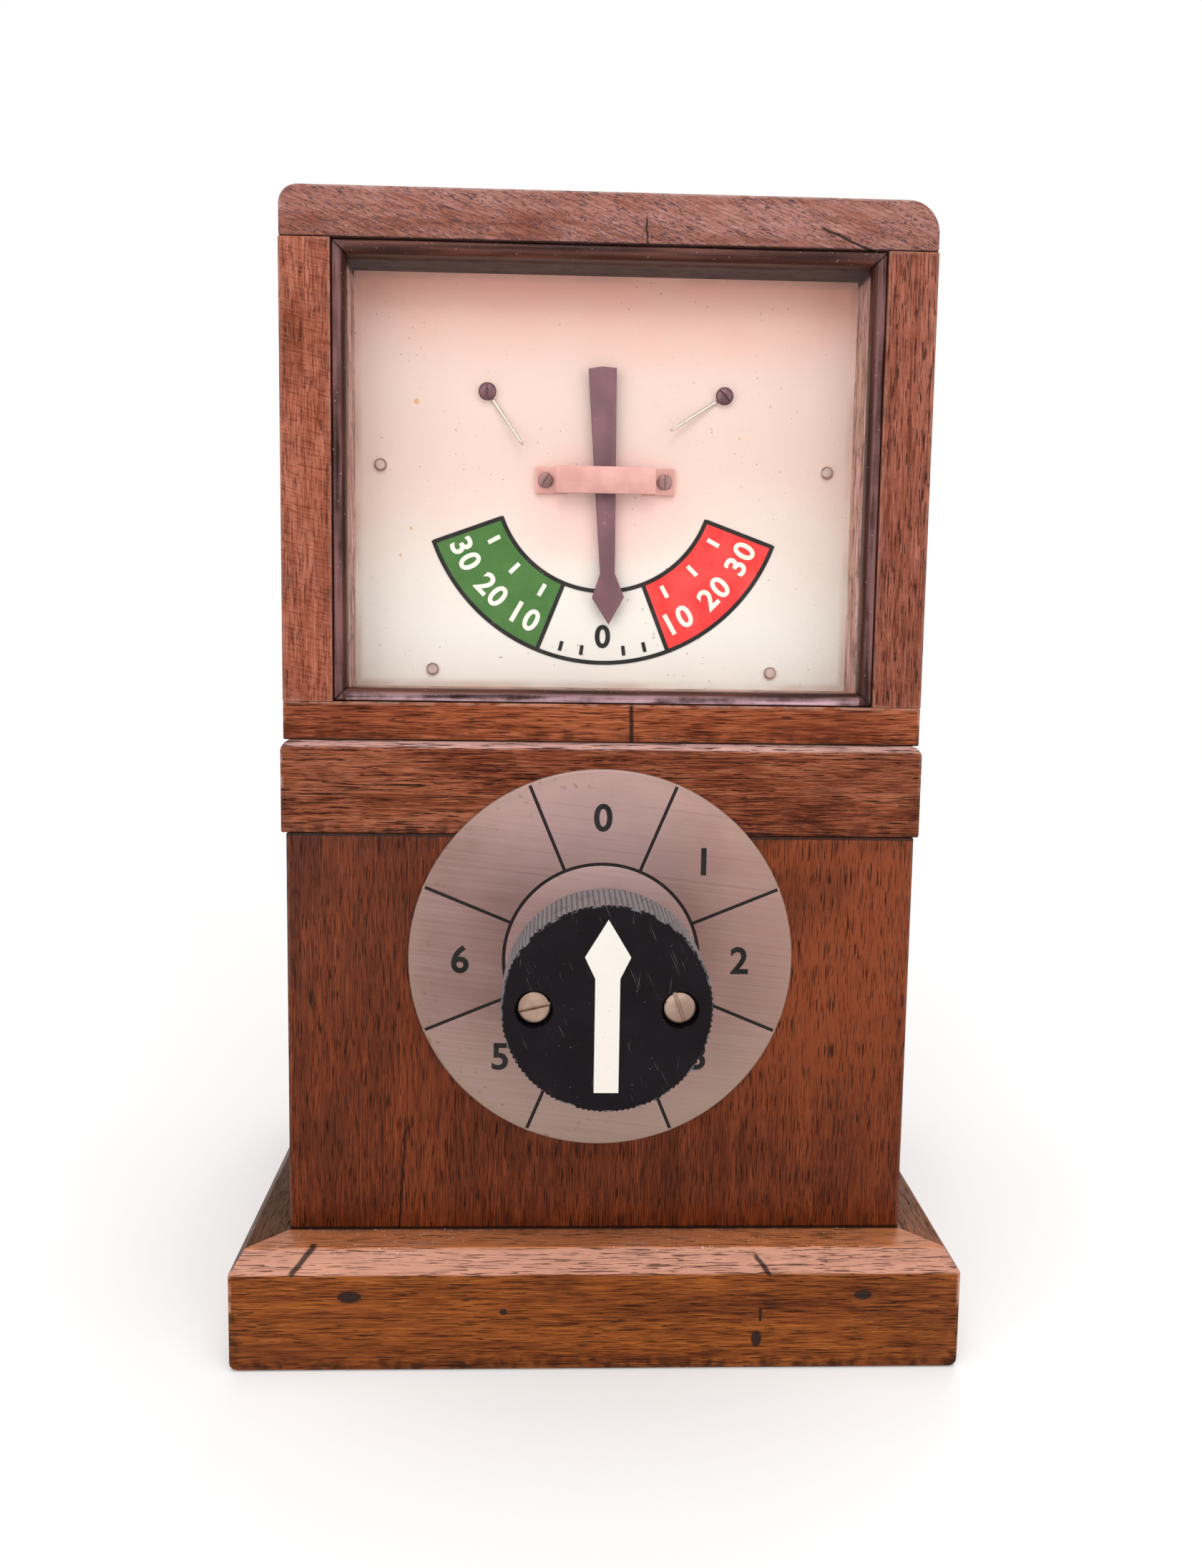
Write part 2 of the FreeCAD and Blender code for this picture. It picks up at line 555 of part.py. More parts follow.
dial_span = UPPER_INSIDE + " - dial_gap"
dial_blank = block("dial_blank", ("-(%s)" % dial_span, dial_span), (DIAL_FACE, DIAL_BACK),
                   (FLOOR_TOP + " + dial_gap", TOP_UNDERSIDE + " - dial_gap"))
dial_plate = cut("dial_plate", dial_blank, *dial_bores("pin_bore", PIN_PLACES, "pin_shank"),
                 *dial_bores("bridge_bore", BRIDGE_SCREWS, "bridge_screw_shank"),
                 *dial_bores("stop_bore", STOP_SCREWS, "stop_screw_shank"),
                 *dial_bores("arbor_bore", [("0", "pivot_height")], "dial_hole_radius"))
backing_blank = block("backing_blank", ("-(%s)" % dial_span, dial_span),
                      (DIAL_BACK, BOARD_BACK),
                      (FLOOR_TOP + " + dial_gap", TOP_UNDERSIDE + " - dial_gap"))
dial_backing = cut("dial_backing_board", backing_blank,
                   rod("backing_bore", "dial_hole_radius", DIAL_BACK + " - 1", "dial_board + 2",
                       z="pivot_height"))


def dial_screw(name, head, rise, shank, length, x, z, seat):
    """A screw in the dial: head to the front, shank through the dial plate."""
    screw = turned(name, [("-(%s)" % rise, "0"), ("-(%s)" % rise, "0.72 * (%s)" % head),
                          ("-0.6 * (%s)" % rise, head), ("0", head), ("0", shank),
                          (length, shank), (length, "0")])
    return place(screw, x, seat, z)


dial_pins = group("dial_pins", [
    dial_screw("dial_pin_%d" % i, "pin_radius", "pin_rise", "pin_shank", "dial_thickness",
               x, z, DIAL_FACE)
    for i, (x, z) in enumerate(PIN_PLACES, start=1)])

# Bridge over the needle: a cranked strip with a blind bore for the front pivot
foot, bar, leg = "bridge_foot_end", "bridge_half_span", "(bridge_half_span - bridge_leg)"
crank = [("-" + foot, "0"), ("-" + foot, "-bridge_metal"), ("-" + bar, "-bridge_metal"),
         ("-" + bar, "-bridge_standoff"), (bar, "-bridge_standoff"), (bar, "-bridge_metal"),
         (foot, "-bridge_metal"), (foot, "0"), (leg, "0"),
         (leg, "-bridge_standoff + bridge_metal"), ("-" + leg, "-bridge_standoff + bridge_metal"),
         ("-" + leg, "0")]
bridge_blank = padded("bridge_blank", "XY_Plane", crank, "bridge_height")
place(bridge_blank, y=DIAL_FACE, z="pivot_height - bridge_height / 2")
bridge_bores = [rod("foot_bore_%d" % i, "bridge_screw_shank", DIAL_FACE + " - bridge_metal - 1",
                    "bridge_metal + 2", x, z)
                for i, (x, z) in enumerate(BRIDGE_SCREWS, start=1)]
needle_bridge = cut("needle_bridge", bridge_blank, *bridge_bores,
                    rod("front_pivot_bore", "pivot_radius + running_clearance",
                        BRIDGE_BACK + " - pivot_depth", "pivot_depth + 1", z="pivot_height"))
bridge_screws = group("bridge_screws", [
    dial_screw("bridge_screw_%d" % i, "bridge_screw_radius", "bridge_screw_rise",
               "bridge_screw_shank", "bridge_metal + dial_thickness", x, z,
               DIAL_FACE + " - bridge_metal")
    for i, (x, z) in enumerate(BRIDGE_SCREWS, start=1)])

# Wire stops, each looped under its screw and bent forward in the needle's path


def wire_stop(name, side, reach, height):
    """A bent wire: an eye under the screw head, a sloping run and a short hook."""
    radius, half_eye = number("stop_wire"), number("stop_eye")
    seat = number(DIAL_FACE) - half_eye
    screw = Vector(side * number("stop_screw_span"), seat, number("stop_screw_height"))
    end = Vector(side * number(reach), number(NEEDLE_FRONT) + number("needle_thickness") / 2,
                 number(height))
    bore = number("stop_screw_shank")
    run = Vector(end.x - screw.x, 0, end.z - screw.z).normalize()
    start = screw + run * (bore + 1.4 * half_eye)
    slope = (end - start).normalize()
    eye_front = screw - Vector(0, half_eye, 0)
    eye = Part.makeCylinder(bore + 2 * half_eye, 2 * half_eye, eye_front, Vector(0, 1, 0))
    eye = eye.cut(Part.makeCylinder(bore, 2 * half_eye, eye_front, Vector(0, 1, 0)))
    straight = Part.makeCylinder(radius, (end - start).Length + radius, start, slope)
    hook = Part.makeCylinder(0.9 * radius, number("stop_hook"), end, Vector(0, -1, 0))
    shape = eye.multiFuse([straight, hook]).removeSplitter()
    wire = doc.addObject("Part::Feature", name)
    wire.Shape = shape
    return wire


stop_wires = group("stop_wires", [
    wire_stop("left_stop_wire", -1, "left_stop_reach", "left_stop_height"),
    wire_stop("right_stop_wire", 1, "right_stop_reach", "right_stop_height")])
stop_screws = group("stop_screws", [
    dial_screw("stop_screw_%d" % i, "stop_screw_radius", "stop_screw_rise", "stop_screw_shank",
               "2 * stop_eye + dial_thickness", x, z, DIAL_FACE + " - 2 * stop_eye")
    for i, (x, z) in enumerate(STOP_SCREWS, start=1)])

# Needle: crowned tail above the pivot, tapering to an arrow head below it
right_edge = [("tail_half_width", "tail_length"), ("waist_half_width", "0"),
              ("neck_half_width", "-neck_drop"), ("head_half_width", "-head_drop")]
needle_points = [("0", "tail_length + tail_crown")] + right_edge + [("0", "-tip_drop")]
needle_points += [("-" + a, b) for a, b in reversed(right_edge)]
needle_blank = padded("needle_blank", "XZ_Plane", needle_points, "needle_thickness",
                      backwards=True)
needle_bored = cut("needle_bored", needle_blank,
                   rod("needle_bore", "arbor_radius", "-1", "needle_thickness + 2"))
needle = group("needle", [needle_bored])
needle.Placement = Placement(Vector(), Rotation(Vector(0, 1, 0), -number("needle_lean")))
place(needle, y=NEEDLE_FRONT, z="pivot_height")

# Arbor: pivots at both ends, two collars that clamp the needle, one seat behind
front_tip = BRIDGE_BACK + " - pivot_depth + end_shake"
REAR_SCREW_FRONT = "(-case_depth / 2 + plate_setback - rear_screw_reach)"
rear_tip = REAR_SCREW_FRONT + " + pivot_depth - end_shake"
arbor = [
    (front_tip, "0"), (front_tip, "pivot_radius"),
    (BRIDGE_BACK + " + shoulder_gap", "pivot_radius"),
    (BRIDGE_BACK + " + shoulder_gap", "arbor_radius"),
    (NEEDLE_FRONT + " - collar_length", "arbor_radius"),
    (NEEDLE_FRONT + " - collar_length", "collar_radius"),
    (NEEDLE_FRONT, "collar_radius"), (NEEDLE_FRONT, "arbor_radius"),
    (NEEDLE_FRONT + " + needle_thickness", "arbor_radius"),
    (NEEDLE_FRONT + " + needle_thickness", "collar_radius"),
    (NEEDLE_FRONT + " + needle_thickness + collar_length", "collar_radius"),
    (NEEDLE_FRONT + " + needle_thickness + collar_length", "arbor_radius"),
    (REAR_SCREW_FRONT + " - shoulder_gap", "arbor_radius"),
    (REAR_SCREW_FRONT + " - shoulder_gap", "pivot_radius"),
    (rear_tip, "pivot_radius"), (rear_tip, "0")]
needle_arbor = place(turned("needle_arbor", arbor), z="pivot_height")

# Soft-iron armature on the arbor, heavier below so that the needle hangs upright
ARMATURE_FRONT = MOVEMENT + " - armature_thickness / 2"
armature_round = rod("armature_round", "armature_radius", ARMATURE_FRONT, "armature_thickness",
                     z="pivot_height")
armature_bar = block("armature_bar", ("-armature_width / 2", "armature_width / 2"),
                     (ARMATURE_FRONT, ARMATURE_FRONT + " + armature_thickness"),
                     ("pivot_height - armature_radius", "pivot_height + armature_top"))
armature = cut("armature", common("armature_blank", armature_round, armature_bar),
               rod("armature_bore", "arbor_radius", ARMATURE_FRONT + " - 1",
                   "armature_thickness + 2", z="pivot_height"))

# Movement frame: plate, pillars from the dial board, and the rear pivot screw
plate_blank = block("movement_plate_blank", ("-movement_half_width", "movement_half_width"),
                    (MOVEMENT_PLATE, MOVEMENT_PLATE + " + movement_plate"),
                    ("pivot_height - movement_half_height", "pivot_height + movement_half_height"))
movement_plate = cut("movement_back_plate", plate_blank,
                     rod("rear_screw_bore", "rear_screw_radius", MOVEMENT_PLATE + " - 1",
                         "movement_plate + 2", z="pivot_height"))
PILLARS = [(a + "pillar_span", "pivot_height" + b) for a in ("-", "")
           for b in (" - pillar_rise", " + pillar_rise")]
movement_pillars = group("movement_pillars", [
    rod("movement_pillar_%d" % i, "pillar_radius", BOARD_BACK,
        MOVEMENT_PLATE + " - " + BOARD_BACK, x, z)
    for i, (x, z) in enumerate(PILLARS, start=1)])
PLATE_BACK = MOVEMENT_PLATE + " + movement_plate"
rear_screw_blank = place(turned("rear_screw_blank", [
    (REAR_SCREW_FRONT, "0"), (REAR_SCREW_FRONT, "rear_screw_radius"),
    (PLATE_BACK, "rear_screw_radius"), (PLATE_BACK, "rear_screw_head"),
    (PLATE_BACK + " + rear_screw_rise", "rear_screw_head"),
    (PLATE_BACK + " + rear_screw_rise", "0")]), z="pivot_height")
rear_pivot_screw = cut("rear_pivot_screw", rear_screw_blank,
                       rod("rear_pivot_bore", "pivot_radius + running_clearance",
                           REAR_SCREW_FRONT + " - 1", "pivot_depth + 1", z="pivot_height"))

# Two coils: pole shoe, core and cheek in one iron piece, with bobbin and winding
SHOE = "(armature_radius + air_gap)"
COIL_START = "(armature_radius + air_gap + shoe_length)"
COIL_END = "(armature_radius + air_gap + shoe_length + coil_length)"


def mirrored(name, piece):
    """The same piece on the left of the pivot."""
    twin = doc.addObject("Part::Mirroring", name)
    twin.Source = piece
    twin.Normal = Vector(1, 0, 0)
    return twin


def coil_core():
    shoe = block("pole_shoe_blank", ("armature_radius / 2", COIL_START),
                 (MOVEMENT + " - shoe_depth / 2", MOVEMENT + " + shoe_depth / 2"),
                 ("pivot_height - shoe_half_height", "pivot_height + shoe_half_height"))
    shoe_face = rod("pole_shoe_face", SHOE, MOVEMENT + " - shoe_depth", "2 * shoe_depth",
                    z="pivot_height")
    core = crossbar("core_bar", "core_radius", COIL_START, "coil_length", MOVEMENT,
                    "pivot_height")
    cheek = block("core_cheek", (COIL_END, COIL_END + " + cheek_thickness"),
                  (MOVEMENT + " - cheek_half_height", MOVEMENT_PLATE),
                  ("pivot_height - cheek_half_height", "pivot_height + cheek_half_height"))
    return fuse("right_core", cut("pole_shoe", shoe, shoe_face), core, cheek)


def coil_bobbin():
    tube = crossbar("bobbin_tube", "core_radius + bobbin_wall", COIL_START, "coil_length",
                    MOVEMENT, "pivot_height")
    flanges = [crossbar("bobbin_flange_%d" % i, "flange_radius", start, "flange_thickness",
                        MOVEMENT, "pivot_height")
               for i, start in enumerate((COIL_START, COIL_END + " - flange_thickness"))]
    bore = crossbar("bobbin_bore", "core_radius", COIL_START + " - 1", "coil_length + 2",
                    MOVEMENT, "pivot_height")
    return cut("right_bobbin", fuse("bobbin_blank", tube, *flanges), bore)


def coil_winding():
    start = COIL_START + " + flange_thickness"
    body = crossbar("winding_body", "winding_radius", start,
                    "coil_length - 2 * flange_thickness", MOVEMENT, "pivot_height")
    inside = crossbar("winding_bore", "core_radius + bobbin_wall", start + " - 1",
                      "coil_length", MOVEMENT, "pivot_height")
    return cut("right_winding", body, inside)


right_core, right_bobbin, right_winding = coil_core(), coil_bobbin(), coil_winding()
coil_cores = group("coil_cores", [right_core, mirrored("left_core", right_core)])
coil_bobbins = group("coil_bobbins", [right_bobbin, mirrored("left_bobbin", right_bobbin)])
coil_windings = group("coil_windings", [right_winding, mirrored("left_winding", right_winding)])

# Horseshoe magnet behind the movement plate, its arch above the pivot
MAGNET_Z = "(pivot_height + magnet_centre_rise)"
arch = cut("magnet_arch", rod("magnet_outside", "magnet_outer", PLATE_BACK,
                              "magnet_thickness", z=MAGNET_Z),
           rod("magnet_inside", "magnet_inner", PLATE_BACK + " - 1", "magnet_thickness + 2",
               z=MAGNET_Z),
           block("magnet_below", ("-magnet_outer - 1", "magnet_outer + 1"),
                 (PLATE_BACK + " - 1", PLATE_BACK + " + magnet_thickness + 1"),
                 (MAGNET_Z + " - magnet_outer - 1", MAGNET_Z)))
legs = [block("magnet_leg_%d" % i, bounds, (PLATE_BACK, PLATE_BACK + " + magnet_thickness"),
              (MAGNET_Z + " - magnet_leg", MAGNET_Z))
        for i, bounds in enumerate((("-magnet_outer", "-magnet_inner"),
                                    ("magnet_inner", "magnet_outer")))]
horseshoe_magnet = fuse("horseshoe_magnet", arch, *legs)

# Commutator face plate: eight engraved divisions and a ring
plate = turned("commutator_plate", [
    ("0", "bush_radius"), ("0", "face_plate_radius"),
    ("-face_plate_thickness + face_plate_edge", "face_plate_radius"),
    ("-face_plate_thickness", "face_plate_radius - face_plate_edge"),
    ("-face_plate_thickness", "ring_radius + engraving_width / 2"),
    ("-face_plate_thickness + engraving_depth", "ring_radius + engraving_width / 2"),
    ("-face_plate_thickness + engraving_depth", "ring_radius - engraving_width / 2"),
    ("-face_plate_thickness", "ring_radius - engraving_width / 2"),
    ("-face_plate_thickness", "bush_radius")])
division = plate.newObject("PartDesign::Pocket", "division_line")
division_sketch = outline_sketch(plate, "division_outline", "XZ_Plane", [
    ("-engraving_width / 2", "ring_radius"), ("engraving_width / 2", "ring_radius"),
    ("engraving_width / 2", "face_plate_radius + 1"),
    ("-engraving_width / 2", "face_plate_radius + 1")])
bind(division_sketch, AttachmentOffset__Base__z="face_plate_thickness - engraving_depth")
division.Profile = division_sketch
bind(division, Length="face_plate_thickness")
division.Reversed = True
doc.recompute()
pattern = plate.newObject("PartDesign::PolarPattern", "division_lines")
pattern.Originals = [division]
pattern.Axis = (division_sketch, ["N_Axis"])
pattern.Angle = 360
bind(pattern, Occurrences="positions")
plate.Tip = pattern
plate.Placement = Placement(Vector(), Rotation(Vector(0, 1, 0), 180 / number("positions")))
place(plate, y=CASE_FRONT, z="spindle_height")
commutator_plate = plate

panel_bush = place(turned("panel_bush", [
    ("-face_plate_thickness", "journal_radius + running_clearance"),
    ("-face_plate_thickness", "bush_radius"), ("board", "bush_radius"),
    ("board", "bush_flange_radius"), ("board + bush_flange", "bush_flange_radius"),
    ("board + bush_flange", "journal_radius + running_clearance")]),
    y=CASE_FRONT, z="spindle_height")

# Knob head with an inlaid arrow and two screws in counterbores
arrow_half = [("arrow_barb", "arrow_barb_rise"), ("arrow_neck", "arrow_neck_rise"),
              ("arrow_neck", "-arrow_tail")]
arrow_points = [("0", "arrow_tip")] + arrow_half
arrow_points += [("-" + a, b) for a, b in reversed(arrow_half)]


def arrow(name, depth):
    inlay = padded(name, "XZ_Plane", arrow_points, depth, backwards=True)
    return place(inlay, y=KNOB_FRONT, z="spindle_height")


knob_blank = place(turned("knob_blank", [
    ("0", "0"), ("0", "knob_radius - knob_edge"), ("knob_edge", "knob_radius"),
    ("knob_length - knob_edge", "knob_radius"), ("knob_length", "knob_radius - knob_edge"),
    ("knob_length", "0")]), y=KNOB_FRONT, z="spindle_height")
knob_arrow = arrow("knob_arrow", "arrow_depth")
KNOB_SCREWS = ["-knob_screw_span", "knob_screw_span"]
SCREW_SEAT = KNOB_FRONT + " + knob_screw_recess + knob_screw_head"
knob_bores = [rod("knob_counterbore_%d" % i, "knob_bore_radius", KNOB_FRONT + " - 1",
                  "knob_screw_recess + knob_screw_head + 1", x, "spindle_height")
              for i, x in enumerate(KNOB_SCREWS)]
knob_bores += [rod("knob_shank_bore_%d" % i, "knob_screw_shank", KNOB_FRONT,
                   "knob_length + 1", x, "spindle_height")
               for i, x in enumerate(KNOB_SCREWS)]
knob = cut("commutator_knob", knob_blank, arrow("arrow_recess", "arrow_depth"), *knob_bores)


def knob_screw(name, x):
    shank = "knob_length - knob_screw_recess - knob_screw_head + hub_flange"
    screw = turned(name, [("-knob_screw_head", "0"), ("-knob_screw_head", "knob_screw_radius"),
                          ("0", "knob_screw_radius"), ("0", "knob_screw_shank"),
                          (shank, "knob_screw_shank"), (shank, "0")])
    return place(screw, x, SCREW_SEAT, "spindle_height")


knob_screws = group("knob_screws", [knob_screw("knob_screw_%d" % i, x)
                                    for i, x in enumerate(KNOB_SCREWS, start=1)])

# Spindle: flange behind the knob, hub to the face plate, long journal to the bracket
HUB_BACK = FACE_PLATE_FRONT + " - hub_gap"
SPINDLE_END = BRACKET + " + bracket_thickness + journal_tail"
spindle_blank = place(turned("spindle_blank", [
    (KNOB_BACK, "0"), (KNOB_BACK, "hub_flange_radius"),
    (KNOB_BACK + " + hub_flange", "hub_flange_radius"), (KNOB_BACK + " + hub_flange", "hub_radius"),
    (HUB_BACK, "hub_radius"), (HUB_BACK, "journal_radius"), (SPINDLE_END, "journal_radius"),
    (SPINDLE_END, "0")]), z="spindle_height")
spindle = cut("commutator_spindle", spindle_blank,
              *[rod("flange_bore_%d" % i, "knob_screw_shank", KNOB_BACK + " - 1",
                    "hub_flange + 2", x, "spindle_height")
                for i, x in enumerate(KNOB_SCREWS)])

# Insulating drum with its staggered contact segments
drum_blank = rod("drum_blank", "drum_radius", DRUM_FRONT, "drum_length", z="spindle_height")
commutator_drum = cut("commutator_drum", drum_blank,
                      rod("drum_bore", "journal_radius", DRUM_FRONT + " - 1", "drum_length + 2",
                          z="spindle_height"))


def row_start(i):
    """Front edge of contact row i along the drum."""
    return DRUM_FRONT + " + drum_margin + %d * segment_pitch" % i


def contact_segment(i):
    outer = rod("segment_outer_%d" % i, SEGMENT_RADIUS, row_start(i), "segment_width",
                z="spindle_height", angle="segment_sweep")
    outer.Placement = Placement(Vector(), ALONG_Y.multiply(
        Rotation(Vector(0, 0, 1), 360 / number("positions") * i)))
    place(outer, "0", row_start(i), "spindle_height")
    inner = rod("segment_inner_%d" % i, "drum_radius", row_start(i) + " - 1",
                "segment_width + 2", z="spindle_height")
    return cut("contact_segment_%d" % i, outer, inner)


ROWS = range(int(number("contact_rows")))
contact_segments = group("contact_segments", [contact_segment(i) for i in ROWS])

# Contact fingers on an insulating block, bearing over the top of the drum
FINGER_LEVEL = "(spindle_height + drum_radius + segment_rise + finger_gap)"
finger_block = block("finger_block", ("-" + CASE_INSIDE, "-" + CASE_INSIDE + " + finger_block_width"),
                     (row_start(0) + " - finger_margin",
                      row_start(ROWS[-1]) + " + segment_width + finger_margin"),
                     (FINGER_LEVEL + " - finger_block_height", FINGER_LEVEL))


def contact_finger(i):
    blade = block("finger_blade_%d" % i,
                  ("-" + CASE_INSIDE + " + finger_margin", "finger_overrun"),
                  (row_start(i), row_start(i) + " + segment_width"),
                  (FINGER_LEVEL, FINGER_LEVEL + " + finger_thickness"))
    rivet = upright("finger_rivet_%d" % i, "rivet_radius", FINGER_LEVEL + " + finger_thickness",
                    "rivet_rise", "-" + CASE_INSIDE + " + finger_block_width / 2",
                    row_start(i) + " + segment_width / 2")
    return [blade, rivet]


contact_fingers = group("contact_fingers", sum([contact_finger(i) for i in ROWS], []))

# Star wheel: one notch for each position of the knob
star_blank = rod("star_blank", "star_radius", STAR_FRONT, "star_thickness", z="spindle_height")
STEP = 360 / number("positions")
notches = []
for index in range(int(number("positions"))):
    angle = math.radians(STEP * index)
    notches.append(rod("star_notch_%d" % index, "notch_radius", STAR_FRONT + " - 1",
                       "star_thickness + 2", "notch_distance * %.9f" % math.sin(angle),
                       "spindle_height + notch_distance * %.9f" % math.cos(angle)))
star_bore = rod("star_bore", "journal_radius", STAR_FRONT + " - 1", "star_thickness + 2",
                z="spindle_height")
star_wheel = cut("star_wheel", star_blank, star_bore, *notches)

# Rear bracket: a web with the spindle bearing, a foot and the post of the detent spring
bracket_points = [
    ("-bracket_half_width", "base_thickness"), ("bracket_half_width", "base_thickness"),
    ("bracket_half_width", "spindle_height + bracket_rise - bracket_corner"),
    ("bracket_half_width - bracket_corner", "spindle_height + bracket_rise"),
    ("-bracket_half_width + bracket_corner", "spindle_height + bracket_rise"),
    ("-bracket_half_width", "spindle_height + bracket_rise - bracket_corner")]
bracket_web = padded("bracket_web", "XZ_Plane", bracket_points, "bracket_thickness",
                     backwards=True)
place(bracket_web, y=BRACKET)
bracket_foot = block("bracket_foot_plate", ("-bracket_half_width", "bracket_half_width"),
                     (BRACKET + " + bracket_thickness / 2",
                      BRACKET + " + bracket_thickness + bracket_foot"),
                     ("base_thickness", "base_thickness + bracket_thickness"))
LEAF_FRONT = "(case_depth / 2 - bracket_inset - star_inset + leaf_inset)"
LEAF_BACK = STAR_BACK + " - leaf_inset"
LEAF_Y = "((%s + %s) / 2)" % (STAR_FRONT, STAR_BACK)
detent_post = block("detent_post", ("-post_reach - post_half_width", "-post_reach + post_half_width"),
                    (LEAF_FRONT, BRACKET + " + bracket_thickness / 2"),
                    (DETENT_HEIGHT + " - post_height", DETENT_HEIGHT))
LEAF_SCREWS = ["(-post_reach - leaf_screw_span)", "(-post_reach + leaf_screw_span)"]
LEAF_TOP = "(spindle_height + notch_distance + leaf_thickness)"


def leaf_bores(name):
    """Bores for the two screws of the detent spring, shared by the spring and its post."""
    return [upright("%s_%d" % (name, i), "leaf_screw_radius", LEAF_TOP + " - leaf_screw_length",
                    "leaf_screw_length + 1", x, LEAF_Y)
            for i, x in enumerate(LEAF_SCREWS, start=1)]


bearing_bracket = cut("bearing_bracket",
                      fuse("bracket_blank", bracket_web, bracket_foot, detent_post),
                      rod("bracket_bearing", "journal_radius + running_clearance",
                          BRACKET + " - 1", "bracket_thickness + 2", z="spindle_height"),
                      *leaf_bores("post_bore"))

# Detent spring: a flat leaf with a rounded nose bent down into a notch of the star wheel
NOSE = "(notch_radius - nose_gap)"
LEAF_WIDTH = "(star_thickness - 2 * leaf_inset)"
nose_round = rod("nose_round", NOSE, LEAF_FRONT, LEAF_WIDTH, z=DETENT_HEIGHT)
nose_inside = rod("nose_inside", NOSE + " - leaf_thickness", LEAF_FRONT + " - 1",
                  LEAF_WIDTH + " + 2", z=DETENT_HEIGHT)
nose_above = block("nose_above", ("-notch_radius", "notch_radius"),
                   (LEAF_FRONT + " - 1", LEAF_BACK + " + 1"),
                   (LEAF_TOP, LEAF_TOP + " + notch_radius"))
leaf = block("leaf_blade", ("-post_reach - post_half_width", "-" + NOSE + " + leaf_thickness / 2"),
             (LEAF_FRONT, LEAF_BACK), (DETENT_HEIGHT, LEAF_TOP))
leaf_lip = block("leaf_lip_end", (NOSE + " - leaf_thickness / 2", "leaf_lip"),
                 (LEAF_FRONT, LEAF_BACK), (DETENT_HEIGHT, LEAF_TOP))
detent_spring = cut("detent_spring",
                    fuse("leaf_blank", cut("nose", nose_round, nose_inside, nose_above), leaf,
                         leaf_lip), *leaf_bores("leaf_bore"))


def leaf_screw(name, x):
    """A cheese-head screw that stands on the leaf, its shank down into the post."""
    shank = "-(leaf_screw_length - leaf_thickness - 0.5)"
    screw = turned(name, [(shank, "0"), (shank, "leaf_screw_radius"), ("0", "leaf_screw_radius"),
                          ("0", "leaf_screw_head"), ("leaf_screw_rise", "leaf_screw_head"),
                          ("leaf_screw_rise", "0")])
    return place(screw, x, LEAF_Y, LEAF_TOP, Rotation(Vector(1, 0, 0), 90))


detent_screws = group("detent_screws", [leaf_screw("detent_screw_%d" % i, x)
                                        for i, x in enumerate(LEAF_SCREWS, start=1)])

# Terminal board on the base, its studs and nuts facing the rear door
COLUMNS = range(int(number("terminal_columns")))
TERMINALS = [("(%d - (terminal_columns - 1) / 2) * terminal_pitch" % i, row)
             for i in COLUMNS for row in ("terminal_low_row", "terminal_high_row")]
terminal_board = block("terminal_board",
                       ("-terminal_board_half_width", "terminal_board_half_width"),
                       (TERMINAL_FRONT, TERMINAL_BACK),
                       ("base_thickness", "terminal_board_top"))


def terminal(i, x, z):
    """A stud with a hexagon nut on the board and a thumb nut further out."""
    stud = rod("terminal_stud_%d" % i, "stud_radius", TERMINAL_BACK, "stud_length", x, z)
    hexagon = doc.addObject("Part::Prism", "hex_blank_%d" % i)
    hexagon.Polygon = 6
    bind(hexagon, Circumradius="hex_nut_radius", Height="hex_nut")
    place(hexagon, x, TERMINAL_BACK, z, ALONG_Y)
    hex_bore = rod("hex_bore_%d" % i, "stud_radius", TERMINAL_BACK + " - 1", "hex_nut + 2", x, z)
    start = TERMINAL_BACK + " + thumb_nut_offset"
    thumb = rod("thumb_blank_%d" % i, "thumb_nut_radius", start, "thumb_nut", x, z)
    thumb_bore = rod("thumb_bore_%d" % i, "stud_radius", start + " - 1", "thumb_nut + 2", x, z)
    return [stud, cut("hex_nut_%d" % i, hexagon, hex_bore),
            cut("thumb_nut_%d" % i, thumb, thumb_bore)]


terminals = group("terminals", sum([terminal(i, x, z)
                                    for i, (x, z) in enumerate(TERMINALS)], []))

# Rear door in its rebates, with a turned knob
DOOR_FRONT = "(case_depth / 2 - door_thickness)"
door_blank = block("door_blank", ("-" + DOOR_EDGE + " + door_gap", DOOR_EDGE + " - door_free_gap"),
                   (DOOR_FRONT, CASE_BACK),
                   (RAIL_TOP + " + door_gap", "waist_bottom - door_gap"))
rear_door = group("rear_door", [door_blank])
door_knob = place(turned("door_knob", [
    ("0", "0"), ("0", "door_knob_base"), ("0.15 * door_knob_length", "door_knob_base"),
    ("0.25 * door_knob_length", "door_knob_neck"), ("0.5 * door_knob_length", "door_knob_neck"),
    ("0.68 * door_knob_length", "door_knob_radius"),
    ("0.85 * door_knob_length", "door_knob_radius"),
    ("door_knob_length", "0.6 * door_knob_radius"), ("door_knob_length", "0")]),
    "door_knob_offset", CASE_BACK, "door_knob_height")

# Surface hinges: the case leaf has the outer knuckles and the pin
KNUCKLE = "(hinge_length / 3)"
HINGE_X = "(-(" + DOOR_EDGE + "))"
HINGES = ["hinge_low", "hinge_high"]


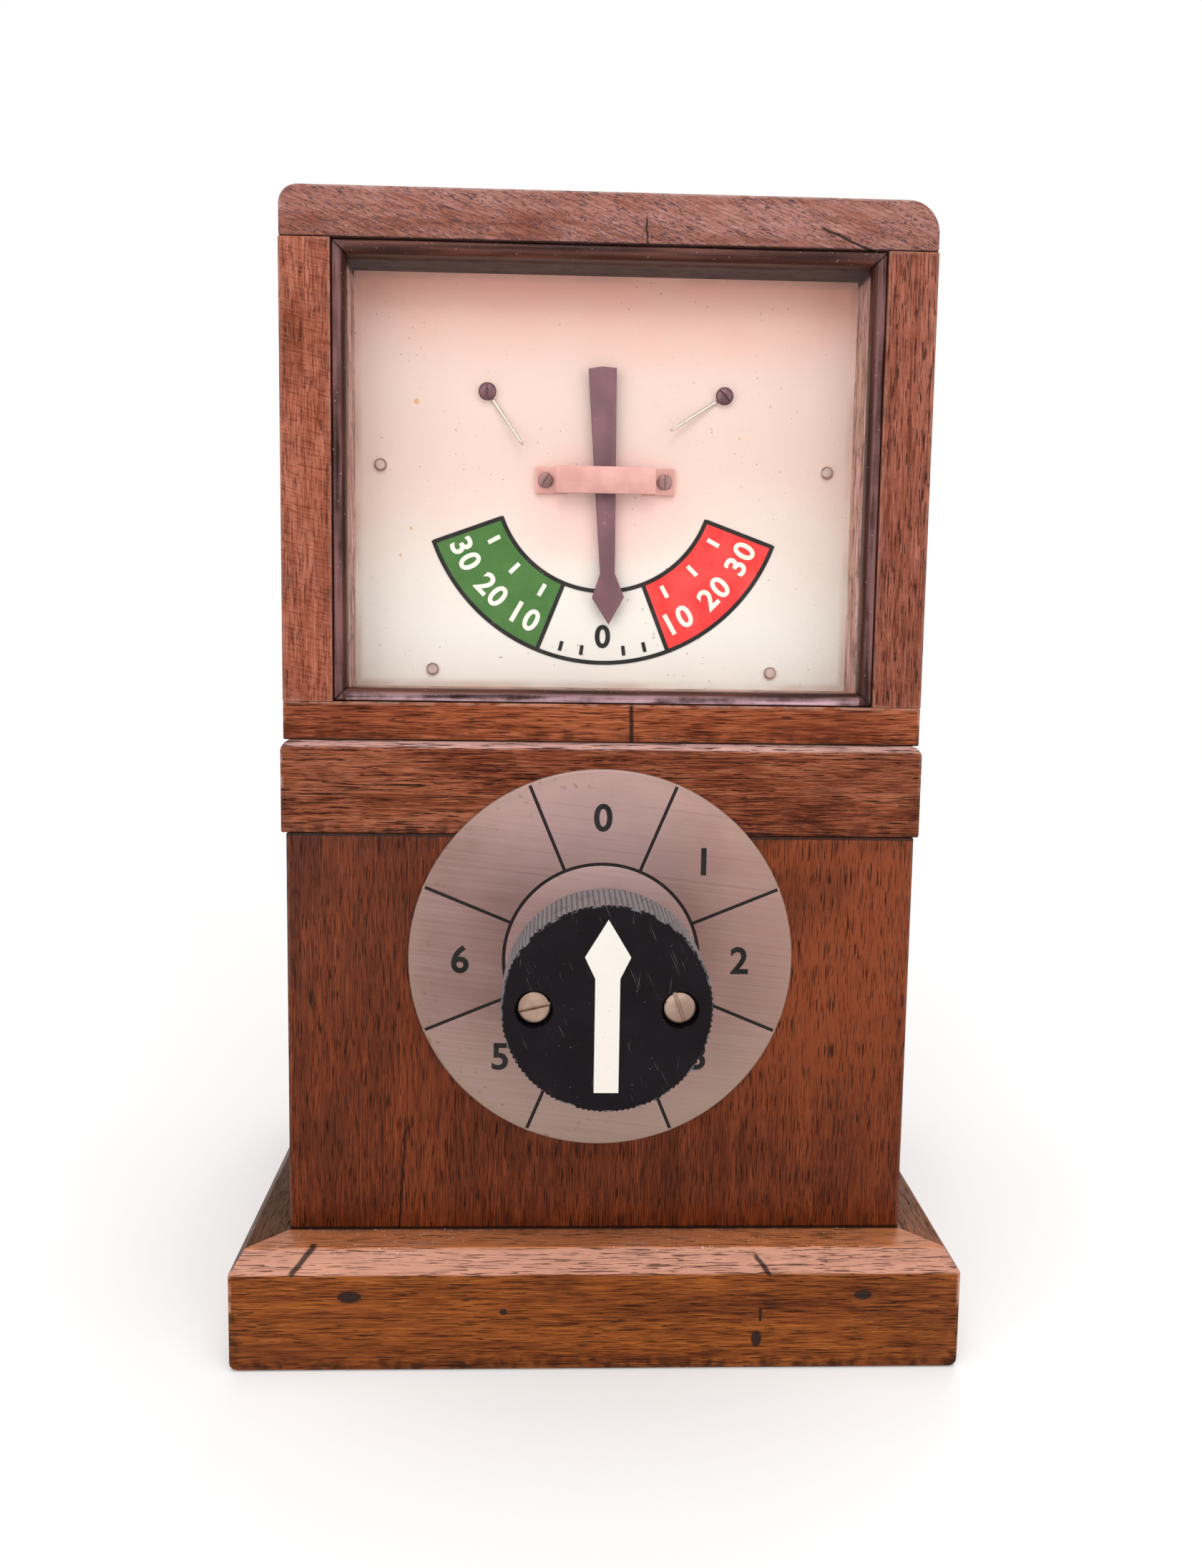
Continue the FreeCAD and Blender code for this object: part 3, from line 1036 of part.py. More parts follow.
def hinge_parts(i, middle):
    """Case leaf, door leaf and pin of one hinge, for the knuckles along Z."""
    low = "%s - hinge_length / 2" % middle
    tab_low = "%s - hinge_length / 6 + hinge_knuckle_gap" % middle
    tab_high = "%s + hinge_length / 6 - hinge_knuckle_gap" % middle
    name = "_%d" % i
    face = (CASE_BACK, CASE_BACK + " + hinge_leaf")
    near_axis = "(hinge_radius + hinge_clear)"
    leaf = block("fixed_leaf" + name, (HINGE_X + " - fixed_leaf_width", HINGE_X), face,
                 (low, low + " + hinge_length"))
    outer = [upright("fixed_knuckle_%d%d" % (i, j), "hinge_radius", start,
                     KNUCKLE, HINGE_X, HINGE_LINE)
             for j, start in enumerate((low, low + " + 2 * hinge_length / 3"))]
    relief = block("fixed_relief" + name, (HINGE_X + " - " + near_axis, HINGE_X + " + 4"),
                   (CASE_BACK + " - 1", HINGE_LINE + " + hinge_radius + 1"),
                   (low + " + hinge_length / 3", low + " + 2 * hinge_length / 3"))
    pin_bore = upright("fixed_pin_bore" + name, "hinge_pin", low + " - 1", "hinge_length + 2",
                       HINGE_X, HINGE_LINE)
    fixed = cut("case_leaf" + name, fuse("case_leaf_blank" + name, leaf, *outer), relief,
                pin_bore)
    plate = block("moving_plate" + name, (HINGE_X + " + " + near_axis,
                                          HINGE_X + " + moving_leaf_width"), face,
                  (low, low + " + hinge_length"))
    tab = block("moving_tab" + name, (HINGE_X, HINGE_X + " + " + near_axis + " + 1"),
                (HINGE_LINE + " - hinge_radius", CASE_BACK + " + hinge_leaf"),
                (tab_low, tab_high))
    knuckle = upright("moving_knuckle" + name, "hinge_radius", tab_low,
                      "hinge_length / 3 - 2 * hinge_knuckle_gap", HINGE_X, HINGE_LINE)
    loose_bore = upright("moving_pin_bore" + name, "hinge_pin + running_clearance", low,
                         "hinge_length", HINGE_X, HINGE_LINE)
    moving = cut("door_leaf" + name, fuse("door_leaf_blank" + name, plate, tab, knuckle),
                 loose_bore)
    pin = upright("hinge_pin" + name, "hinge_pin", low, "hinge_length", HINGE_X, HINGE_LINE)
    return fixed, moving, pin


hinges = [hinge_parts(i, middle) for i, middle in enumerate(HINGES, start=1)]
hinge_case_leaves = group("hinge_case_leaves",
                          [h[0] for h in hinges] + [h[2] for h in hinges])
hinge_door_leaves = group("hinge_door_leaves", [h[1] for h in hinges])

# Turn button that holds the door shut, stored upright and clear of it
button_bar = block("button_bar", (BUTTON_X + " - button_width / 2", BUTTON_X + " + button_width / 2"),
                   (CASE_BACK + " + button_gap", CASE_BACK + " + button_gap + button_thickness"),
                   ("button_height", "button_height + button_reach"))
button_round = rod("button_round", "button_width / 2", CASE_BACK + " + button_gap",
                   "button_thickness", BUTTON_X, "button_height")
turn_button = cut("turn_button", fuse("button_blank", button_bar, button_round),
                  rod("button_bore", "button_screw_radius + running_clearance",
                      CASE_BACK, "button_thickness + 2", BUTTON_X, "button_height"))
button_screw = place(round_head_screw("button_screw", "button_screw_head", "button_screw_rise",
                                      "button_screw_radius", "button_screw_length"),
                     BUTTON_X, CASE_BACK + " + button_gap + button_thickness", "button_height")

NODES = [
    base_board, plinth_front, plinth_right, plinth_back, plinth_left,
    lower_front_panel, lower_left_side, lower_right_side, lower_back_rail, waist_board,
    upper_floor, upper_left_side, upper_right_side, top_board,
    upper_back_panel, back_panel_screws, glazing_beads, glass, dial_liner,
    dial_plate, dial_backing, dial_pins, needle_bridge, bridge_screws, stop_wires, stop_screws,
    needle, needle_arbor, armature, movement_plate, movement_pillars, rear_pivot_screw,
    coil_cores, coil_bobbins, coil_windings, horseshoe_magnet,
    commutator_plate, panel_bush, knob, knob_arrow, knob_screws, spindle, commutator_drum,
    contact_segments, finger_block, contact_fingers, star_wheel, bearing_bracket,
    detent_spring, detent_screws, terminal_board, terminals,
    rear_door, door_knob, hinge_case_leaves, hinge_door_leaves, turn_button, button_screw,
]

doc.recompute()
broken = [item.Name for item in doc.Objects
          if "Invalid" in item.State or "Error" in item.State]
if broken:
    raise RuntimeError("objects that failed: " + ", ".join(broken))
for node in NODES:
    node.Label = node.Name
    if node.Shape.isNull() or not node.Shape.isValid() or not node.Shape.Solids:
        raise RuntimeError("bad shape: " + node.Label)
os.makedirs("parts", exist_ok=True)
for node in NODES:
    node.Shape.exportStep(os.path.join("parts", node.Label + ".step"))
print(len(NODES), "nodes written")
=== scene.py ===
import json
import math
import bpy
from mathutils import Matrix, Vector


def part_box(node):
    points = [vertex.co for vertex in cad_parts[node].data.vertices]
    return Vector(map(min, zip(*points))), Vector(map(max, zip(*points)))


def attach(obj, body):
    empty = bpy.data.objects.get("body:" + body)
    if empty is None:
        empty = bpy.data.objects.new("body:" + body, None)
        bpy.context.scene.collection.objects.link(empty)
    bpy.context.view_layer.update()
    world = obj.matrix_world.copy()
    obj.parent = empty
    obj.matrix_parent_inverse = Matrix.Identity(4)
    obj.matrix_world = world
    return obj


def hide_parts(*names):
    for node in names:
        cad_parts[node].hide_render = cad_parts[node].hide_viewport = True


# Block indicator: finishes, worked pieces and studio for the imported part. Metres; front to -Y.

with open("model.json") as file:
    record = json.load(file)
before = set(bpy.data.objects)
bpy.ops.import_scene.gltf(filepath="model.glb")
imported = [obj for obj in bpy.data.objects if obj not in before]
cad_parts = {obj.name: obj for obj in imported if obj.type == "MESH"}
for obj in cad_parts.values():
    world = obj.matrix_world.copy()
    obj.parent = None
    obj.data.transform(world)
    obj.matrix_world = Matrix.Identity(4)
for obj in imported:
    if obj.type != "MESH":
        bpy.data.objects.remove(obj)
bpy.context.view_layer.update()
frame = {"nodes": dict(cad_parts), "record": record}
bpy.ops.object.select_all(action="DESELECT")

CAD = frame["nodes"]
BODY_OF = {node: body for body, members in frame["record"]["behaviour"]["bodies"].items()
           for node in members}
SLOT_OF = {part["node"]: part["material_slot"] for part in frame["record"]["subparts"]}
MM = 0.001

# Heights, planes and sizes in millimetres; the plinth's corners lie beyond PLINTH_CORNER
DIAL_FACE = -55.0
DIAL_SIDE = 74.2
DIAL_FOOT, DIAL_TOP = 192.8, 314.2
PIVOT = 254.6
SPINDLE = 116.5
PLATE_FRONT = -81.8
KNOB_FRONT = -124.8
KNOB_BACK = -105.3
KNOB_RADIUS = 27.1
KNOB_SCREW_X = 18.6
PLINTH_BEVEL = 28.0
PLINTH_TOP = 34.0
PLINTH_CORNER = (104.4, 94.4)
BEAD_SIDE = 76.7
BEAD_FOOT, BEAD_TOP = 190.3, 316.7
BEAD_WIDTH = 4.7


# -------- finishes


class Field:
    """A value that varies over the surface; arithmetic on it adds Math nodes."""

    def __init__(self, finish, socket):
        self.finish = finish
        self.socket = socket

    def maths(self, operation, *values):
        return self.finish.node("ShaderNodeMath", {"operation": operation},
                                dict(enumerate(values)))

    def __add__(self, other):
        return self.maths("ADD", self, other)

    def __sub__(self, other):
        return self.maths("SUBTRACT", self, other)

    def __rsub__(self, other):
        return self.maths("SUBTRACT", other, self)

    def __mul__(self, other):
        return self.maths("MULTIPLY", self, other)

    def __truediv__(self, other):
        return self.maths("DIVIDE", self, other)

    __radd__ = __add__

    def least(self, other):
        return self.maths("MINIMUM", self, other)

    def most(self, other):
        return self.maths("MAXIMUM", self, other)

    def size(self):
        return self.maths("ABSOLUTE", self)

    def root(self):
        return self.maths("SQRT", self)

    def rise(self, low, high, start=0.0, end=1.0):
        """Smooth step from start at low to end at high."""
        return self.finish.node("ShaderNodeMapRange", {"interpolation_type": "SMOOTHSTEP"},
                                {"Value": self, "From Min": low, "From Max": high,
                                 "To Min": start, "To Max": end})

    def fall(self, low, high):
        """Smooth step from 1 at low to 0 at high."""
        return self.rise(low, high, 1.0, 0.0)


class Finish:
    """One material, its position fields and the shader that they feed."""

    def __init__(self, name, **constants):
        self.material = bpy.data.materials.new(name)
        self.material.use_nodes = True
        self.tree = self.material.node_tree
        self.shader = self.tree.nodes["Principled BSDF"]
        self.colour = None
        for socket, value in constants.items():
            self.shader.inputs[socket.replace("_", " ")].default_value = value
        self.place = self.node("ShaderNodeTexCoord", output="Object")
        metres = self.tree.nodes.new("ShaderNodeSeparateXYZ")
        self.tree.links.new(self.place.socket, metres.inputs[0])
        self.x, self.y, self.z = (Field(self, metres.outputs[i]) / MM for i in range(3))

    def node(self, kind, settings=None, inputs=None, output=0):
        """Add one node: its settings first, then what feeds its sockets."""
        made = self.tree.nodes.new(kind)
        for key, value in (settings or {}).items():
            if key == "stops":
                self.set_stops(made.color_ramp, value)
            else:
                setattr(made, key, value)
        for key, value in (inputs or {}).items():
            self.feed(made.inputs[key], value)
        return Field(self, made.outputs[output])

    @staticmethod
    def set_stops(ramp, stops):
        while len(ramp.elements) < len(stops):
            ramp.elements.new(0.5)
        for element, (position, colour) in zip(ramp.elements, stops):
            element.position = position
            element.color = (*colour, 1.0)

    def feed(self, socket, value):
        if isinstance(value, Field):
            self.tree.links.new(value.socket, socket)
        elif socket.type == "RGBA" and len(value) == 3:
            socket.default_value = (*value, 1.0)
        else:
            socket.default_value = value

    def stretched(self, sizes, turn=(0, 0, 0), centre=(0, 0, 0)):
        """Coordinates in which one unit is this many millimetres along each axis."""
        return self.node("ShaderNodeMapping", {"vector_type": "TEXTURE"},
                         {"Vector": self.place, "Location": [c * MM for c in centre],
                          "Rotation": turn, "Scale": [s * MM for s in sizes]})

    def noise(self, size, detail=2.0, rough=0.5, twist=0.0, **how):
        """Soft noise whose blots are about this many millimetres."""
        sizes = size if isinstance(size, (tuple, list)) else (size,) * 3
        return self.node("ShaderNodeTexNoise", None,
                         {"Vector": self.stretched(sizes, **how), "Scale": 1.0,
                          "Detail": detail, "Roughness": rough, "Distortion": twist})

    def ramp(self, value, *stops):
        return self.node("ShaderNodeValToRGB", {"stops": stops}, {0: value})

    def mix(self, first, second, share):
        return self.node("ShaderNodeMix", {"data_type": "RGBA"},
                         {0: share, 6: first, 7: second}, 2)

    def lay(self, tint, share):
        """Lay a tint over the colour so far."""
        self.colour = self.mix(self.colour, tint, share)

    def bump(self, height, depth, strength):
        """Relief whose full height is this many millimetres."""
        return self.node("ShaderNodeBump", None,
                         {"Strength": strength, "Distance": depth * MM, "Height": height})

    def put(self, **fields):
        """Feed the shader with the colour and these fields."""
        for socket, value in {"Base_Color": self.colour, **fields}.items():
            self.feed(self.shader.inputs[socket.replace("_", " ")], value)
        return self.material

    def edge(self, box):
        """Millimetres from the nearest edge of a board between two corners."""
        gaps = [(axis - low).least(high - axis)
                for axis, low, high in zip((self.x, self.y, self.z), *box)]
        a, b, c = gaps
        return a + b + c - a.least(b).least(c) - a.most(b).most(c)

    def near_line(self, start, end, width, wobble):
        """1 on a thin line in the XZ plane that wanders a little, 0 off it."""
        (x0, z0), (x1, z1) = start, end
        length = math.hypot(x1 - x0, z1 - z0)
        ux, uz = (x1 - x0) / length, (z1 - z0) / length
        along = (self.x - x0) * ux + (self.z - z0) * uz
        off = (self.x - x0) * -uz + (self.z - z0) * ux
        off = off + (self.noise(4.0, 1.0) - 0.5) * (2 * wobble)
        ends = along.rise(-1.0, 0.5) * along.fall(length - 0.5, length + 1.0)
        return off.size().fall(width * 0.35, width) * ends

    def spot(self, centre, radii, ragged=0.0):
        """1 inside an oval in the XZ plane, 0 outside it; its rim may be ragged."""
        across = (self.x - centre[0]) / radii[0]
        up = (self.z - centre[1]) / radii[1]
        return (across * across + up * up + ragged).fall(0.7, 1.15)


def scaled(colour, share):
    return [share * value for value in colour]


def box_mm(node):
    return [[value / MM for value in corner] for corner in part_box(node)]


def wood(name, node, along, shades, seed, pores=0.85, pore=(6.0, 0.42), pit=None,
         worn_highlight=(0.55, 0.30, 0.22), wear_and_highlight=0.5, gloss=0.40, lean=0.0, swirl=0.5, ripple=0.0,
         contrast=1.0, brighter=0.0, grimy_shade=0.5, glints=0.0, top_light_tints=(), seam_shadows=(), cracks=(),
         spots=(), dusty=(), foot=None):
    """Open-grained hardwood whose fibres run along one axis of a board, with painted light:
    highlights on upper arrises and top faces, painted shade along lower edges and at joints.
    """
    f = Finish(name, Specular_IOR_Level=0.10)
    dark, middle, light = shades
    low, high = box_mm(node)
    shift = (seed * 37.0, seed * 53.0, seed * 71.0)
    turn = [0.0, 0.0, 0.0]
    turn[2 if along == 1 else 1] = lean

    def fibres(length, width, detail, twist=0.0, turn=(0, 0, 0), deep=1.0):
        sizes = [width] * 3
        centre = list(shift)
        if along == 0:
            sizes[1] = width * deep
            centre[1] = low[1] - (low[1] - shift[1]) * deep
        sizes[along] = length
        return f.noise(sizes, detail, 0.6, twist, turn=turn, centre=centre)

    broad = fibres(120, 15, 2.0, 0.6, deep=2.5)
    figure = fibres(46, 3.0, 3.0, 0.9, deep=2.6)
    fine = fibres(11, 0.5, 2.0, 0.3, turn)
    tone = (broad * 0.50 + figure * 0.50 + fine * 0.80 - 0.9) * contrast + 0.5
    f.colour = f.ramp(tone, (0.32, dark), (0.50, middle), (0.68, light))
    if brighter:
        lit = f.x.rise(-10, 55) * f.z.rise(50, 100)
        f.lay(light, lit * brighter)
    blot = f.noise(24, 3.0, centre=shift)
    f.lay(dark, blot.rise(0.50, 0.74) * 0.5)
    # Top faces above a height take a tint that fades back from the front: partly the wood's own
    # colour, partly painted top light (brighter) and painted shade (darker)
    for level, tint, share, reach in top_light_tints:
        grained = f.mix(scaled(tint, 0.62), scaled(tint, 1.18), (tone - 0.5) * 0.9 + 0.6)
        above = (f.z + (figure - 0.5) * 1.5).rise(level, level + 0.7)
        near = f.y.fall(low[1] + reach, low[1] + reach + 4)
        f.lay(grained, above * near * share)
    length, width = pore
    clump = fibres(30, 6, 2.0).rise(0.22, 0.5)
    pits = fibres(length, width, 1.5, swirl, turn)
    streak = fibres(length * 2.6, width * 2.0, 2.0, swirl, turn)
    if lean:
        flat = f.z.rise(high[2] - 0.5, high[2] - 0.1)
        pits = pits * (1 - flat) + fibres(9, 0.45, 1.5, 0.5) * flat
        streak = streak * (1 - flat) + fibres(24, 1.1, 2.0, 0.6) * flat
    pits = pits.rise(0.565, 0.62) * clump
    streak = streak.rise(0.58, 0.72)
    f.lay(scaled(dark, 0.45), streak * pores * 0.45)
    f.lay(pit or scaled(dark, 0.14), pits * pores)
    # Pinkish glints along the grain: painted specular highlights
    if glints:
        shine = fibres(length * 0.7, width * 0.9, 1.0, swirl + 0.2, turn).fall(0.36, 0.42)
        f.lay(scaled(light, 1.45), shine * fibres(40, 12, 2.0).rise(0.40, 0.58) * glints)
    relief = 0.6 - pits * 0.5 + fine * 0.15
    if ripple:
        waves = f.noise((5.0, 5.0, 0.5), 2.0, 0.6, 0.5, turn=(0, 0.26, 0), centre=shift)
        shown = f.y.fall(low[1] + 2, low[1] + 12) * 0.85 + 0.15
        f.lay(scaled(light, 0.7), waves.rise(0.54, 0.64) * shown * ripple)
        f.lay(dark, waves.fall(0.36, 0.46) * shown * ripple)
        relief = relief + waves * shown * 0.3
    rim = f.edge((low, high))
    rub = f.noise(4.0, 3.0, centre=shift)
    # Pale rubbed arrises, weighted to upper edges: real rubbing plus a painted highlight
    half = (low[2] + high[2]) / 2
    upper = 0.6 if along == 2 else f.z.rise(half - 1, half + 1) * 0.9 + 0.1
    f.lay(worn_highlight, rim.fall(0.2, 1.2) * rub.rise(0.32, 0.60) * upper * wear_and_highlight)
    # Darker near the edges, weighted to lower edges: dirt plus painted shade under the arrises
    grime_and_shade = rim.fall(0.6, 6.0) * rub.rise(0.38, 0.68)
    f.lay(scaled(dark, 0.30), grime_and_shade * (1.25 - upper) * grimy_shade)
    # Dark lines at the joints: painted shadow under the overhanging boards
    for bottom, top in seam_shadows:
        level = f.z + (rub - 0.5) * 0.5
        shade = level.rise(bottom - 0.15, bottom + 0.05) * level.fall(top - 0.25, top + 0.1)
        f.lay((0.012, 0.005, 0.003), shade * 0.85)
    # A dark line on the ledge along the foot of the front panel: painted shade in the corner
    if foot:
        under = (f.y + (rub - 0.5) * 1.2).rise(foot - 1.3, foot - 0.2)
        under = under * f.z.rise(PLINTH_TOP - 0.5, PLINTH_TOP)
        f.lay((0.016, 0.007, 0.004), under * 0.85)
    for place, size in dusty:
        motes = f.spot(place, size) * f.noise(0.8, 1.0, centre=shift).rise(0.68, 0.74)
        f.lay((0.66, 0.56, 0.52), motes * 0.6)
    front = f.y.fall(low[1] + 5.5, low[1] + 6.5)
    ragged = (f.noise(0.9, 2.0, centre=shift) - 0.5) * 0.5
    for start, end, thickness, wobble in cracks:
        line = f.near_line(start, end, thickness, wobble) * front
        f.lay((0.008, 0.005, 0.004), line * 0.88)
        relief = relief - line * 2.0
    for centre, radii in spots:
        plug = f.spot(centre, radii, ragged) * front
        f.lay((0.016, 0.010, 0.008), plug * 0.92)
        relief = relief - plug
    roughness = gloss + pits * 0.3 + (blot - 0.5) * 0.25 + (fine - 0.5) * 0.2
    return f.put(Roughness=roughness, Normal=f.bump(relief, 0.22, 0.9))


def metal(name, colour, tint, roughness, brushed=None, stain=(0.10, 0.07, 0.05), marks=0.35,
          metallic=1.0):
    """Worn metal: brushed along one axis when lengths are given, with dark stains."""
    f = Finish(name, Metallic=metallic)
    cloud = f.noise(9.0, 3.0)
    f.colour = f.mix(colour, tint, cloud.rise(0.35, 0.7))
    lines = f.noise(brushed or (1.2, 1.2, 1.2), 2.0)
    f.lay(scaled(colour, 0.6), lines.rise(0.55, 0.75) * 0.3)
    spots = f.noise(1.6, 2.0).rise(0.64, 0.74) * cloud.rise(0.4, 0.62)
    f.lay(stain, spots * marks)
    return f.put(Roughness=roughness + (cloud - 0.5) * 0.25 + spots * 0.25,
                 Normal=f.bump(lines, 0.03, 0.5))


RED = ((0.058, 0.011, 0.004), (0.113, 0.0225, 0.0062), (0.210, 0.0450, 0.0132))
PLINTH = ((0.085, 0.018, 0.003), (0.215, 0.054, 0.010), (0.345, 0.104, 0.018))
# Plinth bevel tint: the wood's pinker colour with a painted highlight
BEVEL_PINK_HIGHLIGHT = (0.605, 0.298, 0.212)
PLAIN_RED = {"pores": 0.7, "contrast": 0.7, "wear_and_highlight": 0.4}
PLAIN_PLINTH = {"pores": 0.7, "pore": (8.0, 0.34)}

# Each board: its material, the axis of its fibres, three shades, and looks of its own
BOARDS = {
    "plinth_front": ("plinth_front", 0, PLINTH, dict(
        pores=0.75, pore=(8.0, 0.34), contrast=0.85, worn_highlight=(0.58, 0.33, 0.24), wear_and_highlight=0.8,
        grimy_shade=0.75,
        # The pink bevel and the orange ledge: wood colour lifted by painted top light
        top_light_tints=((PLINTH_BEVEL, BEVEL_PINK_HIGHLIGHT, 0.88, 99),
              (PLINTH_TOP - 0.1, (0.52, 0.160, 0.040), 0.80, 99)),
        cracks=[((-81.0, 34.9), (-87.0, 28.4), 0.95, 0.3),
                ((45.4, 32.4), (49.4, 28.0), 0.8, 0.6)],
        spots=[((-70.5, 21.9), (3.6, 1.7)), ((76.4, 21.9), (2.6, 1.5)),
               ((-26.8, 17.2), (1.2, 0.9)), ((45.9, 8.75), (1.5, 2.6)),
               ((46.9, 16.0), (0.42, 2.4))],
        dusty=[((-70.0, 34.5), (34.0, 2.0)), ((40.0, 34.8), (40.0, 1.2))],
        foot=box_mm("lower_front_panel")[0][1])),
    "plinth_back": ("plinth_back", 0, PLINTH, dict(
        PLAIN_PLINTH, wear_and_highlight=0.7, top_light_tints=((PLINTH_BEVEL, BEVEL_PINK_HIGHLIGHT, 0.35, 99),))),
    "plinth_left": ("plinth_left", 1, PLINTH, dict(
        PLAIN_PLINTH, wear_and_highlight=0.25, grimy_shade=0.9,
        # The dark bevel tint on this side is painted shade
        top_light_tints=((PLINTH_BEVEL, (0.075, 0.034, 0.015), 0.88, 999),))),
    "plinth_right": ("plinth_right", 1, PLINTH, dict(
        PLAIN_PLINTH, wear_and_highlight=0.7, grimy_shade=0.8,
        top_light_tints=((PLINTH_BEVEL, (0.24, 0.100, 0.055), 0.6, 999),))),
    "lower_front_panel": ("lower_front", 2, RED, dict(
        pores=0.9, pore=(7.5, 0.30), contrast=0.70, gloss=0.36, wear_and_highlight=0.3, swirl=0.2,
        brighter=0.85, seam_shadows=((34.0, 35.3), (151.7, 153.0)),
        cracks=[((-56.3, 64.7), (-58.2, 34.3), 0.4, 0.55)])),
    "lower_left_side": ("lower_left", 2, RED, PLAIN_RED),
    "lower_right_side": ("lower_right", 2, RED, PLAIN_RED),
    "lower_back_rail": ("back_rail", 0, RED, PLAIN_RED),
    "rear_door": ("rear_door", 2, RED, dict(pores=0.7, contrast=0.8, wear_and_highlight=0.6)),
    "waist_board": (
        "waist", 0, ((0.062, 0.010, 0.002), (0.184, 0.042, 0.015), (0.305, 0.098, 0.048)), dict(
            pores=0.95, pore=(9.0, 0.36), worn_highlight=(0.62, 0.40, 0.37), gloss=0.45, swirl=1.0,
            contrast=1.15, glints=0.42, grimy_shade=0.6,
            # The pink along the rounded top edge is a painted highlight
            top_light_tints=((176.9, (0.62, 0.37, 0.33), 0.8, 5),))),
    "upper_floor_board": (
        "floor_board", 0, ((0.105, 0.017, 0.004), (0.275, 0.066, 0.022), (0.400, 0.125, 0.058)),
        dict(pore=(8.0, 0.36), glints=0.25, seam_shadows=((178.0, 179.55),),
             cracks=[((7.6, 189.6), (7.8, 179.2), 0.75, 0.35)])),
    "upper_left_side": (
        "left_stile", 2, ((0.130, 0.024, 0.006), (0.305, 0.083, 0.046), (0.440, 0.154, 0.098)),
        dict(pores=0.65, ripple=0.6, contrast=0.9)),
    "upper_right_side": (
        "right_stile", 2, ((0.110, 0.023, 0.010), (0.255, 0.074, 0.043), (0.380, 0.136, 0.092)),
        dict(ripple=0.15, contrast=0.9)),
    # Top board: the pink in its shades and in its pale arrises is partly painted glare
    "top_board": (
        "top_board", 0, ((0.180, 0.049, 0.025), (0.300, 0.121, 0.091), (0.412, 0.217, 0.196)),
        dict(pores=1.0, pore=(2.8, 0.45), pit=(0.070, 0.045, 0.058), worn_highlight=(0.55, 0.40, 0.37),
             gloss=0.48, lean=0.36, swirl=1.8, contrast=0.8, grimy_shade=0.3,
             seam_shadows=((316.0, 317.5),),
             cracks=[((58.1, 322.4), (72.9, 316.6), 0.5, 0.4),
                     ((9.6, 324.0), (9.9, 317.6), 0.30, 0.7)],
             dusty=[((84.0, 328.0), (8.0, 3.5))])),
    "upper_back_panel": ("back_panel", 2, RED, dict(PLAIN_RED, contrast=0.8)),
    "base_board": ("base", 0, ((0.20, 0.11, 0.055), (0.34, 0.21, 0.11), (0.46, 0.30, 0.17)),
                   dict(pores=0.3, gloss=0.6)),
    "dial_backing_board": (
        "backing", 0, ((0.24, 0.14, 0.07), (0.38, 0.24, 0.13), (0.50, 0.34, 0.20)),
        dict(pores=0.3, gloss=0.6)),
}
WOODS = {node: wood(name + "_wood", node, along, shades, float(seed), **looks)
         for seed, (node, (name, along, shades, looks)) in enumerate(BOARDS.items(), 1)}
# Near black for real joint lines and for painted shadow in narrow gaps
JOINT_AND_GAP_SHADOW = (0.006, 0.003, 0.002)


def bead_wood():
    """Dark stained moulding with painted highlights along its noses and painted shade at its back
    and in the gaps beside it.
    """
    f = Finish("bead_wood", Specular_IOR_Level=0.12)
    upright = f.x.size().rise(73.1, 73.3)
    across = f.noise((34, 1.8, 1.8), 3.0)
    along = f.noise((1.8, 1.8, 34), 3.0)
    streak = along * upright + across * (1 - upright)
    f.colour = f.ramp(streak, (0.30, (0.020, 0.006, 0.004)), (0.5, (0.050, 0.015, 0.009)),
                      (0.72, (0.125, 0.040, 0.026)))
    # Light along the rounded nose: a painted highlight, strongest on the bottom bead
    nose_highlight = f.y.fall(-77.45, -77.15) * (streak * 0.7 + f.noise(5.0, 3.0) * 0.3).rise(0.34, 0.62)
    lower = f.z.fall(190.5, 194.0) * (1 - upright)
    nose_highlight_tint = f.mix((0.40, 0.22, 0.24), (0.64, 0.42, 0.47), lower)
    f.lay(nose_highlight_tint, nose_highlight * (upright * 0.22 + lower * 0.86 + 0.06))
    # Darker towards the back of the moulding: painted shade
    seat_shade = f.y.rise(-75.4, -74.2)
    f.lay((0.008, 0.004, 0.003), seat_shade * 0.7)
    # Near black in the narrow gaps beside the stiles and boards: painted shadow
    gap_shadow = f.x.size().rise(BEAD_SIDE - 0.35, BEAD_SIDE)
    gap_shadow = gap_shadow.most(f.z.rise(BEAD_TOP - 0.3, BEAD_TOP + 0.05))
    gap_shadow = gap_shadow.most(f.z.fall(BEAD_FOOT - 0.05, BEAD_FOOT + 0.3))
    f.lay(JOINT_AND_GAP_SHADOW, gap_shadow * 0.9)
    for side in (-1, 1):
        for outer, inward in ((BEAD_TOP, -BEAD_WIDTH), (BEAD_FOOT, BEAD_WIDTH)):
            mitre = f.near_line((side * BEAD_SIDE, outer),
                                (side * (BEAD_SIDE - BEAD_WIDTH), outer + inward), 0.42, 0.1)
            f.lay(JOINT_AND_GAP_SHADOW, mitre * 0.85)
    specks = f.noise(0.7, 1.0).rise(0.73, 0.78)
    f.lay((0.50, 0.42, 0.40), specks * 0.5)
    return f.put(Roughness=0.34 + (streak - 0.5) * 0.3, Normal=f.bump(streak, 0.06, 0.6))


